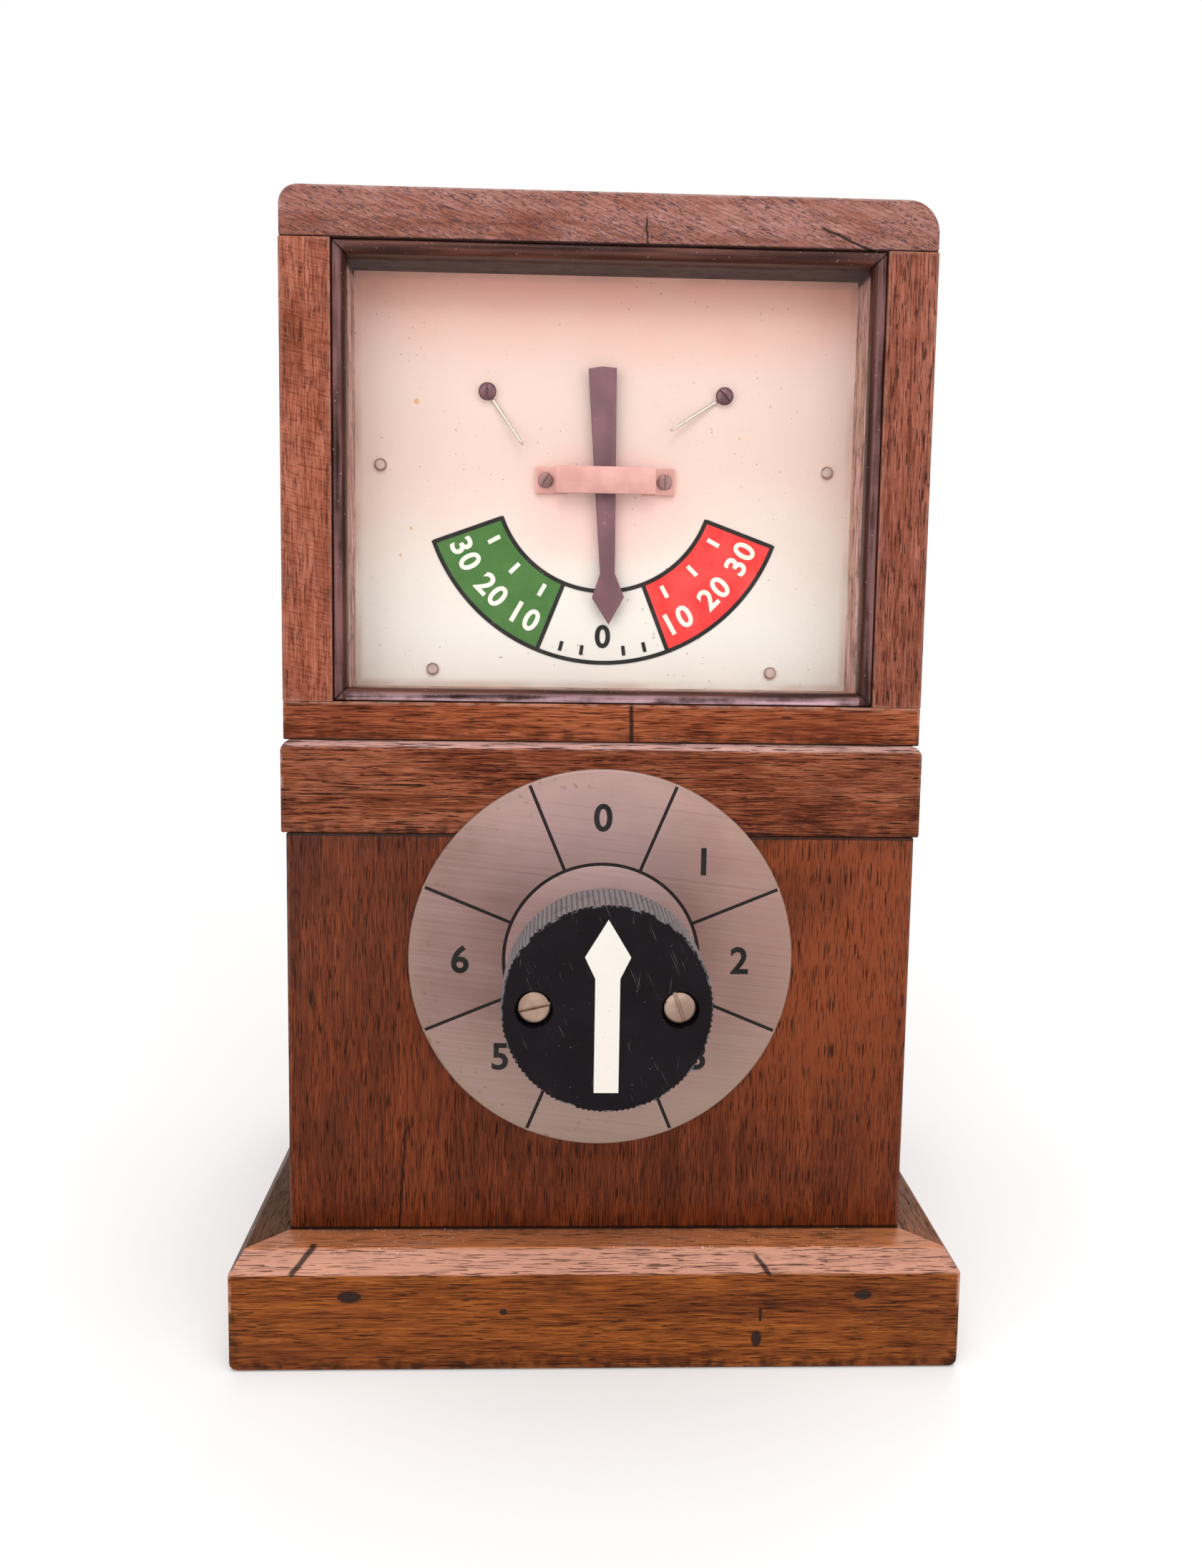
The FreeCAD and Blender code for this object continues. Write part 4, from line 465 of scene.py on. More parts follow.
def liner_wood():
    """Grey-brown dusty walls between the glass and the dial; their shades are raised as painted
    light, and the top wall is darkened as painted shadow under the top board.
    """
    f = Finish("liner_wood", Specular_IOR_Level=0.08)
    streak = f.noise((14, 1.4, 14), 3.0)
    dusty = f.noise(4.0, 3.0)
    # Light shades raised as painted light on walls that lie in the recess
    f.colour = f.ramp(streak, (0.32, (0.200, 0.100, 0.075)), (0.5, (0.500, 0.290, 0.240)),
                      (0.70, (0.760, 0.530, 0.460)))
    f.lay((0.050, 0.024, 0.018), dusty.rise(0.50, 0.70) * 0.5)
    # Painted shadow along the top wall under the top board
    f.lay((0.020, 0.009, 0.007), f.z.rise(311.0, 313.0) * 0.93)
    return f.put(Roughness=0.5 + (dusty - 0.5) * 0.3, Normal=f.bump(streak, 0.12, 0.7))


WOODS["glazing_beads"] = bead_wood()
WOODS["dial_liner"] = liner_wood()


def dial_enamel():
    """Cream enamel with specks; the pink towards the top and round the bridge is a painted
    reflection.
    """
    f = Finish("dial_enamel", Specular_IOR_Level=0.5, Coat_Roughness=0.12)
    cloud = f.noise(26, 3.0)
    cream = f.mix((0.82, 0.83, 0.79), (0.84, 0.855, 0.81), cloud)
    # Pink at the top, fading through beige: a painted reflection
    rosy_reflection = (f.z + (cloud - 0.5) * 22).rise(262, 318)
    f.colour = f.mix(cream, (0.86, 0.41, 0.33), rosy_reflection * 0.95)
    warm_reflection = (f.z + (cloud - 0.5) * 26).rise(206, 262)
    f.lay((0.765, 0.575, 0.515), warm_reflection * (1 - rosy_reflection) * 0.85)
    # Pinker round the bridge: a painted reflection
    across = f.x / 26
    up = (f.z - 248) / 17
    bridge_reflection = (across * across + up * up + (f.noise(9, 2.0) - 0.5) * 0.8).fall(0.3, 1.5)
    f.lay((0.93, 0.57, 0.53), bridge_reflection * 0.5)
    specks = f.noise(1.15, 1.0).rise(0.735, 0.77) * f.noise(18, 2.0).rise(0.45, 0.6)
    f.lay((0.20, 0.12, 0.08), specks * 0.75)
    for centre, radius in (((-55.9, 277.0), 0.85), ((-57.5, 240.0), 0.5), ((40.0, 268.0), 0.4),
                           ((-60.6, 232.0), 0.45), ((-14.0, 300.0), 0.35)):
        f.lay((0.70, 0.36, 0.13), f.spot(centre, (radius, radius)) * 0.75)
    # Darker at the edges against the liner: dirt plus painted shade in the corners of the recess
    grime_and_shade = f.edge([[-DIAL_SIDE, DIAL_FACE - 1, DIAL_FOOT],
                    [DIAL_SIDE, DIAL_FACE + 60, DIAL_TOP]])
    f.lay((0.42, 0.27, 0.20), grime_and_shade.fall(0.4, 3.2) * cloud.rise(0.25, 0.7) * 0.6)
    return f.put(Roughness=0.34 + (cloud - 0.5) * 0.2 + specks * 0.2,
                 Coat_Weight=cloud * 0.3, Normal=f.bump(f.noise(3.5, 3.0), 0.02, 0.5))


def paint(name, colour, shade, roughness, chip=(0.75, 0.68, 0.58), chips=0.35):
    """Glossy sign paint with faint clouding and small chips."""
    f = Finish(name, Specular_IOR_Level=0.12, Coat_Roughness=0.1)
    cloud = f.noise(7.0, 3.0)
    f.colour = f.mix(colour, shade, cloud.rise(0.35, 0.7))
    flake = f.noise(0.9, 2.0).rise(0.70, 0.75) * f.noise(8, 1.0).rise(0.5, 0.65)
    f.lay(chip, flake * chips)
    return f.put(Roughness=roughness + (cloud - 0.5) * 0.2,
                 Coat_Weight=cloud * 0.12, Normal=f.bump(f.noise(1.6, 2.0), 0.03, 0.5))


def ebonite(name, chipped=False):
    """Black moulded rubber with hairline scratches and greyed rubbing at its corner; the
    blue-grey on the knurl is a painted sky reflection.
    """
    f = Finish(name, Specular_IOR_Level=0.05, Coat_Roughness=0.15)
    cloud = f.noise(11, 3.0)
    f.colour = f.mix((0.005, 0.0035, 0.0045), (0.010, 0.007, 0.009), cloud)
    hair = f.noise((12, 12, 0.30), 1.0, 0.5, 0.3, turn=(0, 1.15, 0)).rise(0.70, 0.73)
    hair = hair.most(f.noise((0.3, 12, 14), 1.0, 0.5, 0.3, turn=(0, 0.12, 0)).rise(0.72, 0.75))
    hair = hair * f.noise(9, 2.0).rise(0.50, 0.62)
    hair = hair.most(f.noise(0.7, 1.0).rise(0.76, 0.78) * f.noise(14, 1.0).rise(0.45, 0.55))
    f.lay((0.20, 0.18, 0.17), hair * 0.4)
    relief = 0.5 - hair * 0.4
    bright = 0.0
    if chipped:
        dx, dz = f.x / KNOB_RADIUS, (f.z - SPINDLE) / KNOB_RADIUS
        radius = (dx * dx + dz * dz).root()
        rim = radius.rise(0.970, 0.985) * f.y.fall(KNOB_FRONT + 0.5, KNOB_FRONT + 1.0)
        ragged = f.noise(3.2, 3.0)
        f.lay((0.20, 0.20, 0.21), rim * ragged.rise(0.48, 0.62) * 0.8)
        # Blue-grey on the knurl crests: a painted sky reflection
        crest = radius.rise(0.978, 0.996) * f.y.rise(KNOB_FRONT + 0.4, KNOB_FRONT + 1.0)
        crest = crest * f.noise(5, 2.0).rise(0.05, 0.45)
        f.lay((0.205, 0.222, 0.250), crest * 0.92)
        bright = crest * 0.75
        relief = relief - rim * ragged.rise(0.5, 0.7) * 0.8
    return f.put(Roughness=0.24 + (cloud - 0.5) * 0.2 + hair * 0.2,
                 Coat_Weight=cloud * 0.05 + bright, Normal=f.bump(relief, 0.05, 0.6))


def ivory():
    """Cream inlay with small stains in its surface."""
    f = Finish("ivory_inlay", Specular_IOR_Level=0.4)
    cloud = f.noise(6, 3.0)
    f.colour = f.mix((0.69, 0.635, 0.565), (0.74, 0.695, 0.645), cloud)
    pit = f.noise(0.8, 2.0).rise(0.66, 0.74)
    f.lay((0.40, 0.32, 0.22), pit * 0.5)
    return f.put(Roughness=0.5 + (cloud - 0.5) * 0.2 + pit * 0.2,
                 Normal=f.bump(f.noise(1.4, 2.0), 0.03, 0.6))


def face_plate():
    """Brushed nickel silver with black filled engraving and stains near the rim; the pink towards
    the top, a patch above the knob and a bright band at the rim are painted reflection and
    highlight.
    """
    f = Finish("face_plate_metal", Specular_IOR_Level=0.3)
    dx, dz = f.x, f.z - SPINDLE
    radius = (dx * dx + dz * dz).root()
    cloud = f.noise(24, 3.0)
    f.colour = f.mix((0.220, 0.124, 0.109), (0.278, 0.160, 0.146), cloud.rise(0.3, 0.7))
    # Pinker towards the top: a painted reflection
    rosy_reflection = (f.z + (cloud - 0.5) * 30).rise(140, 172)
    f.lay((0.430, 0.270, 0.252), rosy_reflection * 0.80)
    # A brighter patch just above the knob: a painted highlight
    lift = f.z - (SPINDLE + 26.0)
    highlight_above_knob = (dx * dx * 0.5 + lift * lift + (cloud - 0.5) * 180).root().fall(2, 26)
    f.lay((0.560, 0.390, 0.380), highlight_above_knob * 0.50)
    f.lay((0.470, 0.270, 0.205), (f.x + (cloud - 0.5) * 30).rise(5, 50) * 0.32)
    golden = (f.z + (cloud - 0.5) * 24).fall(66, 108)
    f.lay((0.330, 0.230, 0.185), golden * 0.7)
    lines = f.noise((60, 60, 0.35), 2.0, turn=(0, 0.12, 0))
    f.lay((0.36, 0.28, 0.26), lines.rise(0.45, 0.75) * 0.3)
    f.lay((0.14, 0.09, 0.08), lines.fall(0.25, 0.42) * 0.3)
    stain = f.noise(2.4, 3.0).rise(0.60, 0.70) * radius.rise(40, 55) * f.x.fall(-5, 12)
    f.lay((0.19, 0.12, 0.05), stain * 0.55)
    tarnish = radius.rise(51.5, 55.2) * cloud.rise(0.35, 0.65)
    f.lay((0.26, 0.19, 0.12), tarnish * 0.45)
    # A thin bright band at the rim: a painted highlight on the edge
    f.lay((0.42, 0.31, 0.28), radius.rise(55.0, 55.15) * cloud.rise(0.3, 0.6) * 0.7)
    cut = f.y.rise(PLATE_FRONT + 0.05, PLATE_FRONT + 0.16) * radius.fall(54.6, 54.8)
    f.lay((0.010, 0.007, 0.007), cut * (1 - f.noise(0.7, 2.0).rise(0.68, 0.78) * 0.5))
    return f.put(Metallic=0.36 - cut * 0.36,
                 Roughness=0.47 + (lines - 0.5) * 0.2 + stain * 0.25 + cut * 0.3,
                 Normal=f.bump(lines, 0.02, 0.6))


def spun(name, colour, tint, roughness, stain=(0.12, 0.07, 0.03)):
    """Lathe-turned metal: fine tool rings across Y, and aged blots."""
    f = Finish(name, Metallic=1.0)
    rings = f.noise((30, 0.3, 30), 2.0)
    cloud = f.noise(5.0, 3.0)
    f.colour = f.mix(colour, tint, cloud.rise(0.35, 0.7))
    f.lay(stain, f.noise(1.9, 2.0).rise(0.62, 0.75) * 0.45)
    return f.put(Roughness=roughness + (cloud - 0.5) * 0.25, Normal=f.bump(rings, 0.025, 0.6))


def window_glass():
    """Old thin pane: clear, with a little dust and a weak mirror."""
    f = Finish("window_glass", Roughness=0.03)
    dust = f.noise(1.5, 3.0).rise(0.62, 0.8) * f.noise(30, 2.0).rise(0.4, 0.7)
    film = f.node("ShaderNodeBsdfTransparent", None, {0: (1.0, 0.985, 0.975)})
    mirror = f.node("ShaderNodeBsdfGlossy", None, {"Roughness": 0.02, 0: (1.0, 0.94, 0.92)})
    fresnel = f.node("ShaderNodeFresnel", None, {"IOR": 1.45})
    inside = f.node("ShaderNodeNewGeometry", output="Backfacing")
    pane = f.node("ShaderNodeMixShader", None, {0: fresnel * (1 - inside) * 0.6, 1: film,
                                                2: mirror})
    motes = f.node("ShaderNodeBsdfDiffuse", None, {0: (0.75, 0.66, 0.6)})
    both = f.node("ShaderNodeMixShader", None, {0: dust * 0.10, 1: pane, 2: motes})
    output = f.tree.nodes["Material Output"]
    f.tree.links.new(both.socket, output.inputs["Surface"])
    return f.material


def winding():
    """Green silk-covered wire, wound side by side."""
    f = Finish("silk_winding", Sheen_Weight=0.3)
    turns = f.node("ShaderNodeTexWave", {"bands_direction": "X"},
                   {"Vector": f.stretched((1.6, 1.6, 1.6)), "Scale": 1.0, "Distortion": 0.3})
    cloud = f.noise(6, 3.0)
    f.colour = f.mix((0.030, 0.115, 0.050), (0.075, 0.215, 0.100), turns)
    f.lay((0.10, 0.14, 0.08), cloud.rise(0.5, 0.75) * 0.5)
    return f.put(Roughness=0.65 + (cloud - 0.5) * 0.2, Normal=f.bump(turns, 0.35, 0.8))


def magnet_lacquer():
    """Red lacquer with bright ground pole ends."""
    f = Finish("magnet_lacquer", Specular_IOR_Level=0.5)
    cloud = f.noise(6, 3.0)
    poles = f.z.fall(236.0, 236.6)
    f.colour = f.mix((0.26, 0.030, 0.020), (0.38, 0.050, 0.032), cloud)
    f.lay((0.10, 0.06, 0.05), f.noise(1.5, 2.0).rise(0.66, 0.74) * 0.6)
    f.lay((0.52, 0.50, 0.48), poles)
    return f.put(Metallic=poles, Roughness=0.38 + (cloud - 0.5) * 0.25,
                 Normal=f.bump(f.noise(2, 2.0), 0.04, 0.6))


EBONITE = ebonite("black_ebonite")
BRASS = spun("turned_brass", (0.62, 0.42, 0.16), (0.72, 0.53, 0.25), 0.27)
OLD_BRASS = metal("aged_brass", (0.42, 0.28, 0.12), (0.55, 0.38, 0.18), 0.36,
                  stain=(0.07, 0.04, 0.02), marks=0.6)
BRIGHT_STEEL = metal("bright_steel", (0.58, 0.53, 0.49), (0.68, 0.63, 0.58), 0.30,
                     brushed=(0.4, 8, 0.4))
DARK_SCREW = metal("browned_screw_steel", (0.21, 0.115, 0.115), (0.33, 0.20, 0.185), 0.38,
                   brushed=(3, 1, 0.25), marks=0.5, metallic=0.8)
DIAL_PIN = metal("pin_steel", (0.44, 0.33, 0.30), (0.66, 0.52, 0.48), 0.30, marks=0.5)
BRONZE = metal("bronze_screw", (0.27, 0.175, 0.135), (0.50, 0.350, 0.275), 0.38,
               brushed=(3.2, 1, 0.28), stain=(0.05, 0.025, 0.015), marks=0.7)
BRIDGE = metal("pink_satin_aluminium", (0.54, 0.275, 0.250), (0.66, 0.375, 0.345), 0.45,
               brushed=(12, 1, 0.28), stain=(0.32, 0.17, 0.15), marks=0.55, metallic=0.35)
WIRE = metal("stop_wire_steel", (0.62, 0.51, 0.44), (0.76, 0.65, 0.57), 0.24, marks=0.4)
STOP_SCREW = metal("browned_stop_steel", (0.085, 0.036, 0.046), (0.170, 0.085, 0.100), 0.34,
                   brushed=(3, 1, 0.25), marks=0.5, metallic=0.8)
NEEDLE = metal("needle_brown", (0.128, 0.053, 0.070), (0.180, 0.077, 0.100), 0.48,
               brushed=(0.5, 2, 12), stain=(0.42, 0.26, 0.28), marks=0.4, metallic=0.25)
IRON = metal("soft_iron", (0.20, 0.19, 0.18), (0.30, 0.28, 0.26), 0.5, marks=0.4)
SPRING = metal("spring_nickel_silver", (0.62, 0.57, 0.47), (0.72, 0.67, 0.57), 0.28,
               brushed=(9, 0.4, 0.4))

SLOT_FINISH = {
    "dial_enamel": dial_enamel(), "clear_glass": window_glass(), "needle_metal": NEEDLE,
    "bridge_metal": BRIDGE, "dark_steel": DARK_SCREW, "bright_steel": BRIGHT_STEEL,
    "plate_metal": face_plate(), "ebonite": EBONITE, "ivory": ivory(), "bronze": BRONZE,
    "brass": BRASS, "soft_iron": IRON, "magnet_steel": magnet_lacquer(),
    "silk_winding": winding(), "nickel_silver": SPRING,
}


def finish_of(node):
    if node in WOODS:
        return WOODS[node]
    return SLOT_FINISH[SLOT_OF[node]]


def dress(piece, material):
    """Give a piece one material in place of whatever it carries."""
    piece.data.materials.clear()
    piece.data.materials.append(material)


for node, cad in CAD.items():
    dress(cad, finish_of(node))
for node, material in (("dial_pins", DIAL_PIN), ("stop_wires", WIRE),
                       ("hinge_case_leaves", OLD_BRASS), ("hinge_door_leaves", OLD_BRASS),
                       ("turn_button", OLD_BRASS), ("door_knob", BRASS)):
    dress(CAD[node], material)


# -------- modelling


def only(piece):
    """Select one piece alone and make it active."""
    bpy.ops.object.select_all(action="DESELECT")
    piece.select_set(True)
    bpy.context.view_layer.objects.active = piece


def out_of_editing():
    bpy.ops.object.mode_set(mode="OBJECT")


def editing(piece, select="SELECT", mode="VERT"):
    """Edit one piece with all of it or none of it selected."""
    only(piece)
    bpy.ops.object.mode_set(mode="EDIT")
    bpy.ops.mesh.select_mode(type=mode)
    bpy.ops.mesh.select_all(action=select)


def choose(piece, kind, test):
    """Select the faces or corners of a piece that pass a test, then edit them."""
    editing(piece, "DESELECT", {"polygons": "FACE", "vertices": "VERT"}[kind])
    out_of_editing()
    for item in getattr(piece.data, kind):
        item.select = bool(test(item))
    bpy.ops.object.mode_set(mode="EDIT")


def done(piece, angle=35):
    """Back to object mode, place put into the mesh, smooth where it is rounded."""
    out_of_editing()
    only(piece)
    bpy.ops.object.transform_apply(location=True, rotation=True, scale=True)
    bpy.ops.object.shade_smooth_by_angle(angle=math.radians(angle))
    return piece


def applied(piece, kind, **settings):
    """Add one modifier, set it and apply it."""
    only(piece)
    modifier = piece.modifiers.new(kind.lower(), kind)
    for key, value in settings.items():
        setattr(modifier, key, value)
    bpy.ops.object.modifier_apply(modifier=modifier.name)
    return piece


def softened(piece, width, segments=2, angle=50):
    """Bevel the edges that are sharper than an angle."""
    return applied(piece, "BEVEL", width=width * MM, segments=segments, limit_method="ANGLE",
                   angle_limit=math.radians(angle))


def cut_away(piece, tool):
    """Take the shape of a tool out of a piece, then drop the tool."""
    applied(piece, "BOOLEAN", operation="DIFFERENCE", object=tool, solver="EXACT")
    bpy.data.objects.remove(tool)


def moved(piece, angle, place):
    """Turn a mesh about Y by degrees, then carry it to a place in millimetres."""
    piece.data.transform(Matrix.Rotation(math.radians(angle), 4, "Y"))
    piece.data.transform(Matrix.Translation(Vector(place) * MM))
    return piece


def rod(sides, radius, length, x, y, z):
    """A round bar along Y about its centre, to be worked on."""
    bpy.ops.mesh.primitive_cylinder_add(vertices=sides, radius=radius * MM, depth=length * MM,
                                        location=(x * MM, y * MM, z * MM),
                                        rotation=(math.radians(90), 0, 0))
    return bpy.context.object


def kept(piece, name, node, material, replaces=True):
    """Name a finished piece, dress it and let it ride with the node it belongs to."""
    piece.name = name
    piece.data.name = name
    dress(piece, material)
    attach(piece, BODY_OF[node])
    if replaces:
        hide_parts(node)
    return piece


def in_scene(name, data):
    """A new object for a mesh, a camera or a lamp."""
    thing = bpy.data.objects.new(name, data)
    bpy.context.scene.collection.objects.link(thing)
    return thing


def copy_of(node):
    """A welded copy of a CAD node's mesh, flat faces joined, ready to be worked on."""
    piece = in_scene(node + "_worked", CAD[node].data.copy())
    editing(piece)
    bpy.ops.mesh.remove_doubles(threshold=0.002 * MM)
    bpy.ops.mesh.dissolve_limited(angle_limit=math.radians(1.0))
    out_of_editing()
    return piece


def eased(node, width, rubbed=0.0):
    """A board with softened arrises in place of its sharp CAD solid."""
    piece = copy_of(node)
    if rubbed:
        far_x, far_y = (value * MM for value in PLINTH_CORNER)
        choose(piece, "vertices", lambda v: abs(v.co.x) > far_x and abs(v.co.y) > far_y
               and v.co.z < MM)
        bpy.ops.mesh.bevel(offset=rubbed * MM, segments=3, affect="VERTICES")
        out_of_editing()
    softened(piece, width, 3, 28)
    done(piece)
    return kept(piece, node + "_eased", node, finish_of(node))


ARRISES = {
    "top_board": 0.9, "waist_board": 0.6, "upper_left_side": 0.35, "upper_right_side": 0.35,
    "upper_floor_board": 0.45, "lower_front_panel": 0.35, "lower_left_side": 0.35,
    "lower_right_side": 0.35, "rear_door": 0.8, "upper_back_panel": 0.5,
    "lower_back_rail": 0.4, "commutator_plate": 0.14, "needle_bridge": 0.12, "needle": 0.12,
    "terminal_board": 0.5, "finger_block": 0.5, "turn_button": 0.3,
}
for side in ("front", "right", "left", "back"):
    eased("plinth_" + side, 1.1, rubbed=2.6)
for node, width in ARRISES.items():
    eased(node, width)


def turned_head(radius, rise):
    """A screw head lying in the XZ plane with its seat at y = 0 and its crown to -Y."""
    return done(rod(40, radius, rise, 0, -rise / 2, 0))


def crowned(head, steps):
    """Inset the front face of a head in steps, each step standing further forward."""
    choose(head, "polygons", lambda p: p.normal.y < -0.9)
    for inset, forward in steps:
        bpy.ops.mesh.inset(thickness=inset * MM, depth=forward * MM)
    return done(head)


def slotted(head, centre, depth, width, angle, reach):
    """Saw the screwdriver slot with a bevelled bar at an angle from upright."""
    bpy.ops.mesh.primitive_cube_add(size=1)
    saw = bpy.context.object
    saw.scale = (width * MM, depth * MM * 2, reach * MM)
    done(saw)
    applied(saw, "BEVEL", width=0.06 * MM, segments=1)
    cut_away(head, moved(saw, angle, centre))


def joined(pieces):
    only(pieces[0])
    for piece in pieces:
        piece.select_set(True)
    bpy.ops.object.join()
    return bpy.context.object


def screw_set(node, name, places, radius, base, rise, slot_width, angles, shank, domed=0.25,
              material=None):
    """Slotted heads seated on a plane that faces the front, with their shanks behind."""
    thin, length = shank
    screws = []
    for (x, z), angle in zip(places, angles):
        head = turned_head(radius, rise * (1 - domed))
        crowned(head, [(radius * inset, forward * domed * rise)
                       for inset, forward in ((0.14, 0.45), (0.25, 0.35), (0.25, 0.20))])
        softened(head, 0.05 * radius)
        moved(head, 0, (x, base, z))
        slotted(head, (x, base - rise, z), rise * 0.55, slot_width, angle, radius * 2.4)
        stem = rod(20, thin, length, x, base + length / 2, z)
        choose(stem, "polygons", lambda p: p.normal.y > 0.9 or p.normal.z < -0.9)
        bpy.ops.mesh.bevel(offset=0.15 * MM, segments=1)
        done(stem)
        screws.append(joined([head, stem]))
    piece = done(joined(screws), 30)
    return kept(piece, name, node, material or finish_of(node))


def pair(x, z):
    return [(-x, z), (x, z)]


screw_set("bridge_screws", "bridge_screw_heads", pair(17.7, PIVOT), radius=2.2, base=-56.8,
          rise=1.1, slot_width=0.45, angles=(30, 2), shank=(1.05, 3.2))
screw_set("stop_screws", "stop_screw_heads", pair(35.0, 280.1), radius=2.6, base=-56.0,
          rise=1.5, slot_width=0.5, angles=(0, -42), shank=(1.35, 2.4), domed=0.5,
          material=STOP_SCREW)
screw_set("knob_screws", "knob_screw_heads", pair(KNOB_SCREW_X, SPINDLE), radius=4.15,
          base=KNOB_FRONT + 3.7, rise=2.2, slot_width=1.0, angles=(77, -20),
          shank=(1.95, 19.7), domed=0.12)

FLUTES = 116
FLUTE_DEPTH = 0.42
CHAMFER = 0.45
COUNTERBORE = 4.9
CHIPS = ((172, 1.5, 0.3), (181, 1.1, 0.5), (188, 1.4, 0.4), (251, 2.0, 0.35), (22, 1.0, 0.4))


def knob():
    """Knurled black knob with counterbores, a chipped rim and a recess for the arrow."""
    middle = (KNOB_BACK + KNOB_FRONT) / 2
    piece = done(rod(FLUTES * 2, KNOB_RADIUS, KNOB_BACK - KNOB_FRONT, 0, middle, SPINDLE))
    choose(piece, "polygons", lambda p: abs(p.normal.y) > 0.9)
    bpy.ops.mesh.inset(thickness=0.55 * MM, depth=0.0)
    out_of_editing()
    for corner in piece.data.vertices:
        offset = Vector((corner.co.x, 0, corner.co.z - SPINDLE * MM))
        if offset.length > (KNOB_RADIUS - 0.2) * MM:
            corner.co.y += CHAMFER * MM if corner.co.y < middle * MM else -CHAMFER * MM
            turn = round(math.degrees(math.atan2(offset.z, offset.x)) / (180 / FLUTES))
            if turn % 2:
                corner.co -= offset.normalized() * FLUTE_DEPTH * MM
    for x in (-KNOB_SCREW_X, KNOB_SCREW_X):
        bore = done(rod(48, COUNTERBORE, 7.4, x, KNOB_FRONT, SPINDLE))
        choose(bore, "polygons", lambda p: abs(p.normal.y) > 0.9)
        bpy.ops.mesh.inset(thickness=0.3 * MM)
        cut_away(piece, done(bore))
    for angle, radius, share in CHIPS:
        out = KNOB_RADIUS + radius * share
        around = math.radians(angle)
        bpy.ops.mesh.primitive_ico_sphere_add(
            subdivisions=1, radius=radius * MM,
            location=(out * math.cos(around) * MM, KNOB_FRONT * MM,
                      (SPINDLE + out * math.sin(around)) * MM),
            rotation=(angle, 0.7, angle * 0.3))
        chip = bpy.context.object
        editing(chip)
        bpy.ops.transform.resize(value=(1.0, 0.8, 1.3))
        cut_away(piece, done(chip))
    cut_away(piece, arrow_blank(0.07, KNOB_FRONT - 1.0, 2.0))
    done(piece, 25)
    return kept(piece, "knurled_knob", "commutator_knob", ebonite("knob_ebonite", True))


ARROW = [(0, 23.4), (5.9, 13.6), (3.2, 8.0), (3.2, -21.9), (-3.2, -21.9), (-3.2, 8.0),
         (-5.9, 13.6)]


def thickened(piece, depth):
    """Extrude the chosen faces straight back and turn every face outward."""
    bpy.ops.mesh.extrude_region_move(TRANSFORM_OT_translate={"value": (0, depth * MM, 0)})
    bpy.ops.mesh.select_all(action="SELECT")
    bpy.ops.mesh.normals_make_consistent(inside=False)
    return done(piece)


def plaque(outline, front, depth):
    """A flat shape from its outline in the XZ plane: a plane cut to corners, then extruded."""
    bpy.ops.mesh.primitive_circle_add(vertices=len(outline), radius=MM, fill_type="NGON",
                                      rotation=(math.radians(90), 0, 0))
    piece = done(bpy.context.object)
    for corner, (x, z) in zip(piece.data.vertices, reversed(outline)):
        corner.co = Vector((x, front, z)) * MM
    editing(piece, mode="FACE")
    return thickened(piece, depth)


def oblong(half, low, high):
    """Corners of an upright rectangle."""
    return [(-half, low), (half, low), (half, high), (-half, high)]


def arrow_blank(grow, front, depth):
    """The arrow's outline, grown a little on every side."""
    points = []
    for x, z in ARROW:
        points.append((x + math.copysign(grow, x) if x else 0, z + math.copysign(grow, z)))
    return plaque([(x, z + SPINDLE) for x, z in points], front, depth)


knob()
kept(done(softened(arrow_blank(0.0, KNOB_FRONT, 0.98), 0.14)), "arrow_inlay", "knob_arrow",
     finish_of("knob_arrow"))


# -------- dial


GREEN_PAINT = paint("green_paint", (0.055, 0.175, 0.038), (0.075, 0.205, 0.052), 0.30)
RED_PAINT = paint("red_paint", (0.86, 0.040, 0.040), (0.90, 0.075, 0.070), 0.30)
BLACK_PAINT = paint("black_filling", (0.008, 0.007, 0.006), (0.018, 0.016, 0.015), 0.26,
                    chip=(0.35, 0.30, 0.26), chips=0.5)
WHITE_PAINT = paint("white_filling", (0.83, 0.86, 0.78), (0.92, 0.92, 0.87), 0.4,
                    chip=(0.45, 0.40, 0.34))
INNER_ARC = 32.45
OUTER_ARC = 53.96
WHITE_SPREAD = 21.5
SECTOR_END = 70.0


def ring_sector(inner, outer, start, end, front, depth, bevel=0.0):
    """Spin a radial edge about the pivot, then thicken it; angles from straight down."""
    bpy.ops.mesh.primitive_plane_add(size=MM)
    piece = bpy.context.object
    editing(piece)
    bpy.ops.mesh.merge(type="CENTER")
    out_of_editing()
    direction = Vector((math.sin(math.radians(start)), 0, -math.cos(math.radians(start))))
    hub = Vector((0, front, PIVOT)) * MM
    piece.data.vertices[0].co = hub + direction * inner * MM
    editing(piece)
    bpy.ops.mesh.extrude_region_move(
        TRANSFORM_OT_translate={"value": direction * (outer - inner) * MM})
    bpy.ops.mesh.select_all(action="SELECT")
    bpy.ops.mesh.spin(steps=max(2, int(abs(end - start) / 2)),
                      angle=math.radians(end - start), center=hub, axis=(0, 1, 0))
    bpy.ops.mesh.select_all(action="SELECT")
    bpy.ops.mesh.remove_doubles(threshold=0.001 * MM)
    thickened(piece, depth)
    if bevel:
        softened(piece, bevel)
    return done(piece, 40)


def on_dial(piece, name, material):
    return kept(piece, name, "dial_plate", material, replaces=False)


